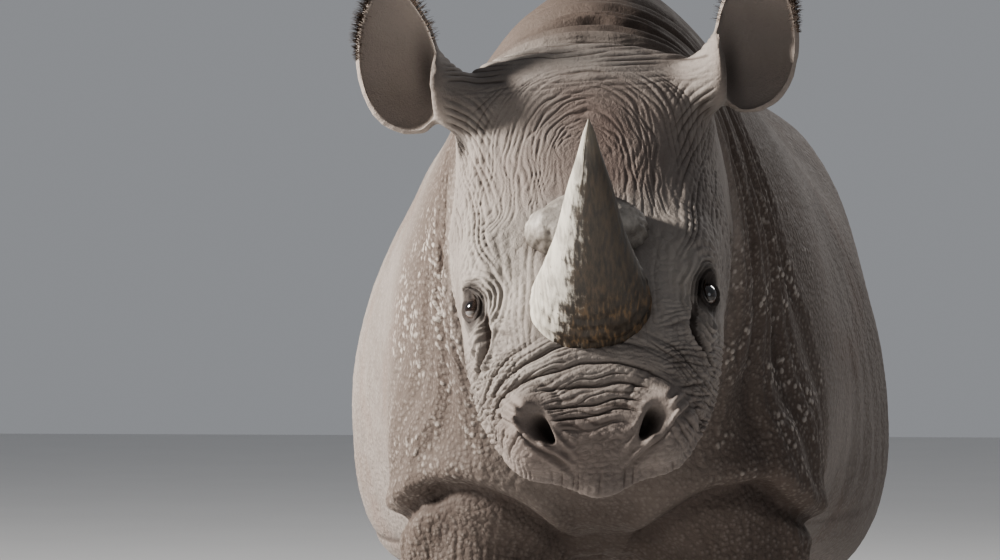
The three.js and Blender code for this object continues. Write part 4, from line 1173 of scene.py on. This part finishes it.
def blades(roots, ways, lengths, width, droop, steps=6):
    """Blades as one mesh, and for each corner the number of its root."""
    count = len(roots)
    t = np.linspace(0, 1, steps)
    side = unit(np.cross(ways, (0.3, 0.2, 0.93)))
    deep = np.cross(ways, side)
    spine = roots[:, None] + ways[:, None] * (lengths[:, None] * t)[:, :, None]
    spine = spine + np.array([0, 0, -1]) * (droop * lengths[:, None] * t**2)[:, :, None]
    half = np.full((count, 1), width) * (1 - t**1.6) + BLADE_END
    corners = []
    for corner in range(3):
        angle = corner * 2 * np.pi / 3
        offset = math.cos(angle) * side + math.sin(angle) * 0.45 * deep
        corners.append(spine + offset[:, None] * half[:, :, None])
    points = np.stack(corners, axis=2).reshape(-1, 3)
    base = (np.arange(count) * steps * 3)[:, None]
    level = (np.arange(steps - 1) * 3)[None, :]
    faces = []
    for i in range(3):
        j = (i + 1) % 3
        a, b = base + level + i, base + level + j
        faces += [np.stack([a, b, b + 3], 2), np.stack([a, b + 3, a + 3], 2)]
    faces = [f.reshape(-1, 3) for f in faces]
    start, end = base[:, 0], base[:, 0] + (steps - 1) * 3
    faces.append(np.stack([start, start + 2, start + 1], 1))
    faces.append(np.stack([end, end + 1, end + 2], 1))
    return points, np.concatenate(faces), np.repeat(np.arange(count), steps * 3)


def hair_piece(name, made, patches):
    """A piece of blades with the map that it is baked through: each blade has a small patch."""
    points, faces, number = made
    piece = object_from(name, points, faces)
    layer = piece.data.uv_layers.new(name="OFBake")
    corner = np.zeros(len(piece.data.loops), np.int32)
    piece.data.loops.foreach_get("vertex_index", corner)
    spread = PATCH_SPREAD * np.stack([np.cos(corner * 2.1), np.sin(corner * 2.1)], axis=1)
    layer.data.foreach_set("uv", (patches[number[corner]] + spread).astype(np.float32).ravel())
    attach(piece, "root")
    return piece


def make_ear_fringe(side, sign):
    """Short dark hairs along the rim of an ear, longest at its tip and outer edge."""
    draw = np.random.default_rng(200 + sign)
    count = FRINGE_HAIRS
    outer = draw.random(count) < 0.85
    t = np.where(outer, draw.uniform(0.38, 1.0, count) ** 0.8, draw.uniform(0.55, 1.0, count))
    angle = np.where(outer, draw.normal(-0.10, 0.25, count), np.pi + draw.normal(0.1, 0.2, count))
    width = EAR_HALF_WIDTH * ear_width(t) - 0.003
    depth = EAR_HALF_DEPTH * ear_depth(t) - 0.003
    x, y = ear_outline(t, angle, width, depth, 0.004)
    roots = np.stack([x, y, EAR_AT[2] + t * EAR_HEIGHT], axis=1)
    ways = np.stack([np.cos(angle), 0.5 * np.sin(angle) - 0.35, 0.25 + 1.1 * t**4], axis=1)
    ways += draw.normal(0, 0.28, (count, 3))
    lengths = draw.uniform(0.006, 0.016, count) * (0.35 + 0.85 * ramp(t, 0.38, 0.7))
    round_ear = np.mod(angle / (2 * np.pi) + 0.25, 1)
    patches = 0.05 + 0.9 * np.stack([round_ear, t], axis=1)
    if sign < 0:
        roots[:, 0] = 2 * NECK_JOINT[0] - roots[:, 0]
        ways[:, 0] *= -1
    made = blades(with_head(roots), unit(ways @ HEAD_TURN.T), lengths, 0.0006, 0.1)
    return hair_piece(f"ear_fringe_{side}", made, patches)


def make_tail_tuft():
    """Coarse hairs that hang from two rows along the end of the tail."""
    low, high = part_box("tail_tuft")
    draw = np.random.default_rng(210)
    count = TAIL_HAIRS
    t = draw.random(count)
    row = draw.choice([-1, 1], count)
    middle = (low + high) / 2
    top = high[2] + 0.02
    span = top - (low[2] + 0.055)
    roots = np.stack([
        middle[0] + draw.normal(0, 0.0035, count),
        middle[1] + row * 0.009 * (1 - 0.4 * t) + draw.normal(0, 0.002, count),
        top - span * t,
    ], axis=1)
    ways = np.stack([
        draw.normal(0, 0.10, count), row * 0.30 + draw.normal(0, 0.10, count),
        np.full(count, -1.0),
    ], axis=1)
    room = roots[:, 2] - low[2]
    lengths = np.minimum(draw.uniform(0.045, 0.085, count), room * 0.98)
    round_tail = np.arctan2(roots[:, 0] - middle[0], roots[:, 1] - middle[1]) / (2 * np.pi) + 0.5
    patches = 0.05 + 0.9 * np.stack([round_tail, t], axis=1)
    made = blades(roots, unit(ways), lengths, 0.0007, 0.05)
    piece = hair_piece("tail_hairs", made, patches)
    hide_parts("tail_tuft")
    return piece


def make_lashes(side):
    """A short row of lashes on the rim of the upper lid."""
    middle, axes = eye_frame(side)
    draw = np.random.default_rng(220 + len(side))
    count = LASHES
    a = np.linspace(-0.85, 0.85, count) * LID_HALF_LENGTH
    b = LID_HALF_HEIGHT * (1 - (np.abs(a) / LID_HALF_LENGTH) ** 1.8) ** (1 / 1.5)
    tilt = -LID_TILT
    a, b = a * math.cos(tilt) - b * math.sin(tilt), a * math.sin(tilt) + b * math.cos(tilt)
    shell = EYE_RADIUS + LID_THICKNESS
    c = np.sqrt(np.maximum(shell**2 - a * a - b * b, 0))
    roots = np.stack([a, b, c], axis=1) @ axes + middle
    ways = np.stack([a * 12, 0.25 + 0 * a, 1 + 0 * a], axis=1)
    ways = unit((ways + draw.normal(0, 0.12, ways.shape)) @ axes)
    patches = np.stack([np.linspace(0.1, 0.9, count), np.full(count, 0.5)], axis=1)
    made = blades(roots, ways, draw.uniform(0.007, 0.011, count), 0.0004, 0.35)
    return hair_piece(f"lashes_{side}", made, patches)


# ---- Materials ----


class Nodes:
    """A material's node tree, with short calls to build it."""

    def __init__(self, name, **settings):
        self.material = bpy.data.materials.new(name)
        self.material.use_nodes = True
        self.tree = self.material.node_tree
        self.shader = self.tree.nodes["Principled BSDF"]
        for key, value in settings.items():
            self.shader.inputs[key.replace("_", " ")].default_value = value

    def add(self, kind, **inputs):
        node = self.tree.nodes.new(kind)
        for key, value in inputs.items():
            self.feed(node.inputs[key.replace("_", " ")], value)
        return node

    def feed(self, socket, value):
        if isinstance(value, bpy.types.NodeSocket):
            self.tree.links.new(value, socket)
        else:
            socket.default_value = value

    def place(self):
        return self.add("ShaderNodeTexCoord").outputs["Object"]

    def stretched(self, scale):
        mapping = self.add("ShaderNodeMapping", Vector=self.place(), Scale=scale)
        return mapping.outputs["Vector"]

    def noise(self, scale, detail=3.0, vector=None, rough=0.5):
        node = self.add(
            "ShaderNodeTexNoise", Vector=vector or self.place(), Scale=scale, Detail=detail,
            Roughness=rough,
        )
        return node.outputs["Fac"]

    def cells(self, scale):
        node = self.add("ShaderNodeTexVoronoi", Vector=self.place(), Scale=scale)
        return node.outputs["Distance"]

    def attribute(self, name):
        node = self.tree.nodes.new("ShaderNodeAttribute")
        node.attribute_name = name
        return node.outputs["Fac"]

    def scaled(self, value, low, high, to_low=0.0, to_high=1.0):
        node = self.tree.nodes.new("ShaderNodeMapRange")
        node.interpolation_type = "SMOOTHSTEP"
        for key, number in zip(
            ("Value", "From Min", "From Max", "To Min", "To Max"),
            (value, low, high, to_low, to_high),
        ):
            self.feed(node.inputs[key], number)
        return node.outputs["Result"]

    def sum(self, a, b, way="ADD"):
        node = self.tree.nodes.new("ShaderNodeMath")
        node.operation = way
        self.feed(node.inputs[0], a)
        self.feed(node.inputs[1], b)
        return node.outputs[0]

    def times(self, a, b):
        return self.sum(a, b, "MULTIPLY")

    def mix(self, share, a, b):
        node = self.tree.nodes.new("ShaderNodeMix")
        node.data_type = "RGBA"
        self.feed(node.inputs["Factor"], share)
        self.feed(node.inputs["A"], a)
        self.feed(node.inputs["B"], b)
        return next(o for o in node.outputs if o.type == "RGBA")

    def tinted(self, colour, tints):
        """Lays each tint over the colour by its share of the attribute it is named for."""
        for name, share, tint in tints:
            colour = self.mix(self.times(self.attribute(name), share), colour, tone(*tint))
        return colour

    def relief(self, height, depth, strength=1.0, under=None):
        node = self.add("ShaderNodeBump", Height=height, Distance=depth, Strength=strength)
        if under:
            self.feed(node.inputs["Normal"], under)
        return node.outputs["Normal"]

    def finish(self, **sockets):
        for key, value in sockets.items():
            self.feed(self.shader.inputs[key.replace("_", " ")], value)
        return self.material


def tone(red, green, blue):
    return (red, green, blue, 1.0)


def skin_material():
    n = Nodes("rhino skin", Roughness=0.8, Specular_IOR_Level=0.3)
    patches = n.scaled(n.noise(3.2, 4.0), 0.35, 0.65)
    colour = n.mix(patches, tone(0.128, 0.108, 0.096), tone(0.175, 0.152, 0.137))
    mottle = n.noise(38.0, 4.0, rough=0.6)
    colour = n.mix(n.scaled(mottle, 0.35, 0.75, 0, 0.35), colour, tone(0.225, 0.205, 0.190))
    red = n.scaled(n.noise(5.5, 3.0), 0.5, 0.72, 0, 0.45)
    colour = n.mix(red, colour, tone(0.130, 0.092, 0.076))
    # The front of the body is darker: painted shade behind the head, partly a darker body tone.
    colour = n.tinted(colour, [("shoulders", 0.88, (0.068, 0.050, 0.041))])
    dust = n.scaled(n.noise(11.0, 5.0, rough=0.65), 0.42, 0.70, 0, 0.55)
    colour = n.tinted(colour, [
        ("head", dust, (0.248, 0.225, 0.203)),
        ("warm", 0.55, (0.110, 0.070, 0.058)),
        ("pale", 0.55, (0.325, 0.297, 0.268)),
        ("muzzle", 0.45, (0.118, 0.092, 0.082)),
        ("inner_ear", 0.85, (0.235, 0.200, 0.178)),
    ])
    grain = n.cells(115.0)
    flesh = n.scaled(n.attribute("grain"), 0.0, 1.0, 0.12, 1.0)
    tops = n.times(n.scaled(grain, 0.12, 0.50, 0.40, 0.0), flesh)
    colour = n.mix(tops, colour, tone(0.235, 0.205, 0.185))
    raised = n.scaled(n.attribute("raised"), 0.1, 0.7, 0, 0.8)
    colour = n.mix(raised, colour, tone(0.36, 0.325, 0.295))
    # Creases and the bottoms of deep folds are painted darker: painted shade.
    valley = n.scaled(n.attribute("valley"), 0.3, 1.0, 0, 0.70)
    colour = n.mix(valley, colour, tone(0.050, 0.036, 0.030))
    colour = n.tinted(colour, [
        # Painted shade on the chest under the head.
        ("painted_chest_shade", 0.7, (0.048, 0.037, 0.032)),
        # Dark lids with painted shade round the eyes, and painted shade in the nostrils and deep in
        # the ears.
        ("dark", 0.92, (0.020, 0.014, 0.012)),
    ])
    fine = n.cells(420.0)
    pits = n.noise(160.0, 5.0, rough=0.65)
    normal = n.relief(n.times(grain, -1.0), 0.0026, flesh)
    normal = n.relief(n.times(fine, -1.0), 0.0007, 0.6, normal)
    normal = n.relief(pits, 0.0016, 0.7, normal)
    rough = n.scaled(mottle, 0.2, 0.8, 0.66, 0.9)
    return n.finish(Base_Color=colour, Roughness=rough, Normal=normal)


def horn_material():
    """Dark and fibrous, painted pale on the side that faces the animal's right: partly wear, partly
    painted light from that side.
    """
    n = Nodes("horn", Roughness=0.5, Specular_IOR_Level=0.45)
    rise = n.attribute("rise")
    strands = n.noise(1.0, 6.0, n.stretched((220.0, 60.0, 26.0)), 0.6)
    colour = n.mix(n.scaled(strands, 0.3, 0.7), tone(0.020, 0.015, 0.011), tone(0.070, 0.052, 0.036))
    rust = n.times(n.scaled(strands, 0.5, 0.7), n.scaled(rise, 0.08, 0.42, 1, 0))
    colour = n.mix(rust, colour, tone(0.150, 0.092, 0.046))
    # Pale towards the animal's right, the side the key light falls on: partly wear, partly painted
    # light.
    across = n.add("ShaderNodeSeparateXYZ", Vector=n.add("ShaderNodeTexCoord").outputs["Normal"])
    worn = n.times(across.outputs["X"], -1.0)
    worn = n.sum(worn, n.scaled(n.noise(24.0, 5.0, rough=0.65), 0.3, 0.7, -0.22, 0.22))
    worn = n.sum(worn, n.scaled(strands, 0.3, 0.7, -0.15, 0.15))
    side = n.scaled(worn, 0.25, 0.60)
    patchy = n.scaled(n.sum(n.noise(30.0, 4.0), strands), 0.75, 1.15, 0.55, 1.0)
    colour = n.mix(n.times(side, patchy), colour, tone(0.39, 0.365, 0.320))
    pits = n.scaled(n.noise(95.0, 3.0), 0.66, 0.74)
    pitted = n.times(pits, n.scaled(rise, 0.15, 0.6, 0.8, 0.1))
    colour = n.mix(pitted, colour, tone(0.060, 0.046, 0.034))
    colour = n.mix(n.scaled(rise, 0.80, 1.0, 0, 0.35), colour, tone(0.20, 0.18, 0.15))
    normal = n.relief(strands, 0.0012, 0.7)
    rough = n.scaled(strands, 0.2, 0.8, 0.38, 0.68)
    return n.finish(Base_Color=colour, Roughness=rough, Normal=normal)


def stump_material():
    n = Nodes("worn horn", Roughness=0.6, Specular_IOR_Level=0.35)
    strands = n.noise(26.0, 6.0, rough=0.62)
    colour = n.mix(n.scaled(strands, 0.3, 0.72), tone(0.110, 0.096, 0.084), tone(0.330, 0.305, 0.275))
    edge = n.scaled(n.attribute("rise"), 0.25, 0.6, 0.75, 0.0)
    colour = n.mix(edge, colour, tone(0.07, 0.058, 0.050))
    normal = n.relief(strands, 0.0014, 0.7)
    normal = n.relief(n.noise(150.0, 5.0, rough=0.65), 0.0016, 0.8, normal)
    return n.finish(Base_Color=colour, Normal=normal)


def eye_material():
    n = Nodes("eye", Roughness=0.08, Specular_IOR_Level=0.6, Coat_Weight=1.0, Coat_Roughness=0.03)
    iris = n.attribute("iris")
    ring = n.noise(240.0, 3.0)
    colour = n.mix(n.scaled(ring, 0.3, 0.7), tone(0.008, 0.004, 0.003), tone(0.018, 0.009, 0.005))
    colour = n.mix(n.scaled(iris, 0.34, 0.40, 1, 0), colour, tone(0.002, 0.002, 0.002))
    colour = n.mix(n.scaled(iris, 0.84, 0.94), colour, tone(0.085, 0.058, 0.046))
    return n.finish(Base_Color=colour)


def nail_material():
    n = Nodes("nail", Roughness=0.55, Specular_IOR_Level=0.35)
    streaks = n.noise(1.0, 5.0, n.stretched((110.0, 110.0, 16.0)), 0.6)
    colour = n.mix(n.scaled(streaks, 0.3, 0.7), tone(0.075, 0.058, 0.046), tone(0.20, 0.165, 0.135))
    return n.finish(Base_Color=colour, Normal=n.relief(streaks, 0.0010, 0.6))


def hair_material():
    n = Nodes("hair", Roughness=0.55, Specular_IOR_Level=0.35)
    strands = n.noise(160.0, 2.0)
    return n.finish(Base_Color=n.mix(strands, tone(0.022, 0.014, 0.010), tone(0.085, 0.052, 0.032)))


def put_material(piece, material):
    piece.data.materials.clear()
    piece.data.materials.append(material)


# ---- The set: floor, lights and camera ----


FLOOR_HALF = 14.0
SKY_COLOUR = (0.74, 0.76, 0.80, 1)
SKY_STRENGTH = 0.34
# Name, place, the point it is turned to, width, power and colour of each light
LIGHTS = (
    ("key", (-5.6, -1.4, 3.5), (0, -0.6, 1.0), 1.0, 1330, (1.0, 0.96, 0.90)),
    ("fill", (4.5, -5.0, 2.0), (0, -0.4, 0.9), 3.0, 22, (0.90, 0.94, 1.0)),
    ("rim", (3.0, 4.0, 4.0), (0, 0.4, 1.0), 2.0, 120, (1.0, 0.98, 0.95)),
)


def make_floor():
    mesh = bpy.data.meshes.new("floor")
    corners = [(FLOOR_HALF * x, FLOOR_HALF * y, 0) for x, y in ((-1, -1), (1, -1), (1, 1), (-1, 1))]
    mesh.from_pydata(corners, [], [(0, 1, 2, 3)])
    floor = bpy.data.objects.new("floor", mesh)
    bpy.context.scene.collection.objects.link(floor)
    n = Nodes("pale floor", Roughness=0.7)
    colour = n.mix(n.noise(2.0), tone(0.60, 0.60, 0.60), tone(0.64, 0.64, 0.64))
    put_material(floor, n.finish(Base_Color=colour))


def area_light(name, place, target, size, power, colour):
    data = bpy.data.lights.new(name, "AREA")
    data.shape = "DISK"
    data.size = size
    data.energy = power
    data.color = colour
    light = bpy.data.objects.new(name, data)
    light.location = place
    light.rotation_euler = (Vector(target) - Vector(place)).to_track_quat("-Z", "Y").to_euler()
    bpy.context.scene.collection.objects.link(light)


def make_lights():
    world = bpy.data.worlds.new("studio")
    world.use_nodes = True
    background = world.node_tree.nodes["Background"]
    background.inputs["Color"].default_value = SKY_COLOUR
    background.inputs["Strength"].default_value = SKY_STRENGTH
    bpy.context.scene.world = world
    for light in LIGHTS:
        area_light(*light)
    bpy.context.scene.view_settings.look = "AgX - Medium High Contrast"


CAMERA_PLACE = (0.2405, -6.258, 1.170)
CAMERA_TURN = math.radians(-3.896)  # from straight along +Y, towards the animal's right
CAMERA_DIP = math.radians(0.885)
CAMERA_LENS = 132.9
CAMERA_SENSOR = 36
CAMERA_FAR = 60


def make_camera():
    data = bpy.data.cameras.new("camera")
    data.lens = CAMERA_LENS
    data.sensor_width = CAMERA_SENSOR
    data.clip_end = CAMERA_FAR
    camera = bpy.data.objects.new("camera", data)
    camera.location = CAMERA_PLACE
    camera.rotation_euler = (math.pi / 2 - CAMERA_DIP, 0, -CAMERA_TURN)
    bpy.context.scene.collection.objects.link(camera)
    bpy.context.scene.camera = camera


# ---- The whole animal ----

put_material(make_skin(), skin_material())
front = horn_piece("front_horn", "horn_front", FRONT_HORN, front_horn_relief)
put_material(front, horn_material())
rear = horn_piece("rear_horn", "horn_rear", REAR_HORN, rear_horn_relief)
put_material(rear, stump_material())
eye_look, nail_look, hair_look = eye_material(), nail_material(), hair_material()
for side, sign in SIDES.items():
    put_material(make_eye(side), eye_look)
    put_material(make_lashes(side), hair_look)
    put_material(make_ear_fringe(side, sign), hair_look)
    for leg in ("foreleg", "hindleg"):
        put_material(make_nails(leg, side), nail_look)
put_material(make_tail_tuft(), hair_look)
make_floor()
make_lights()
make_camera()
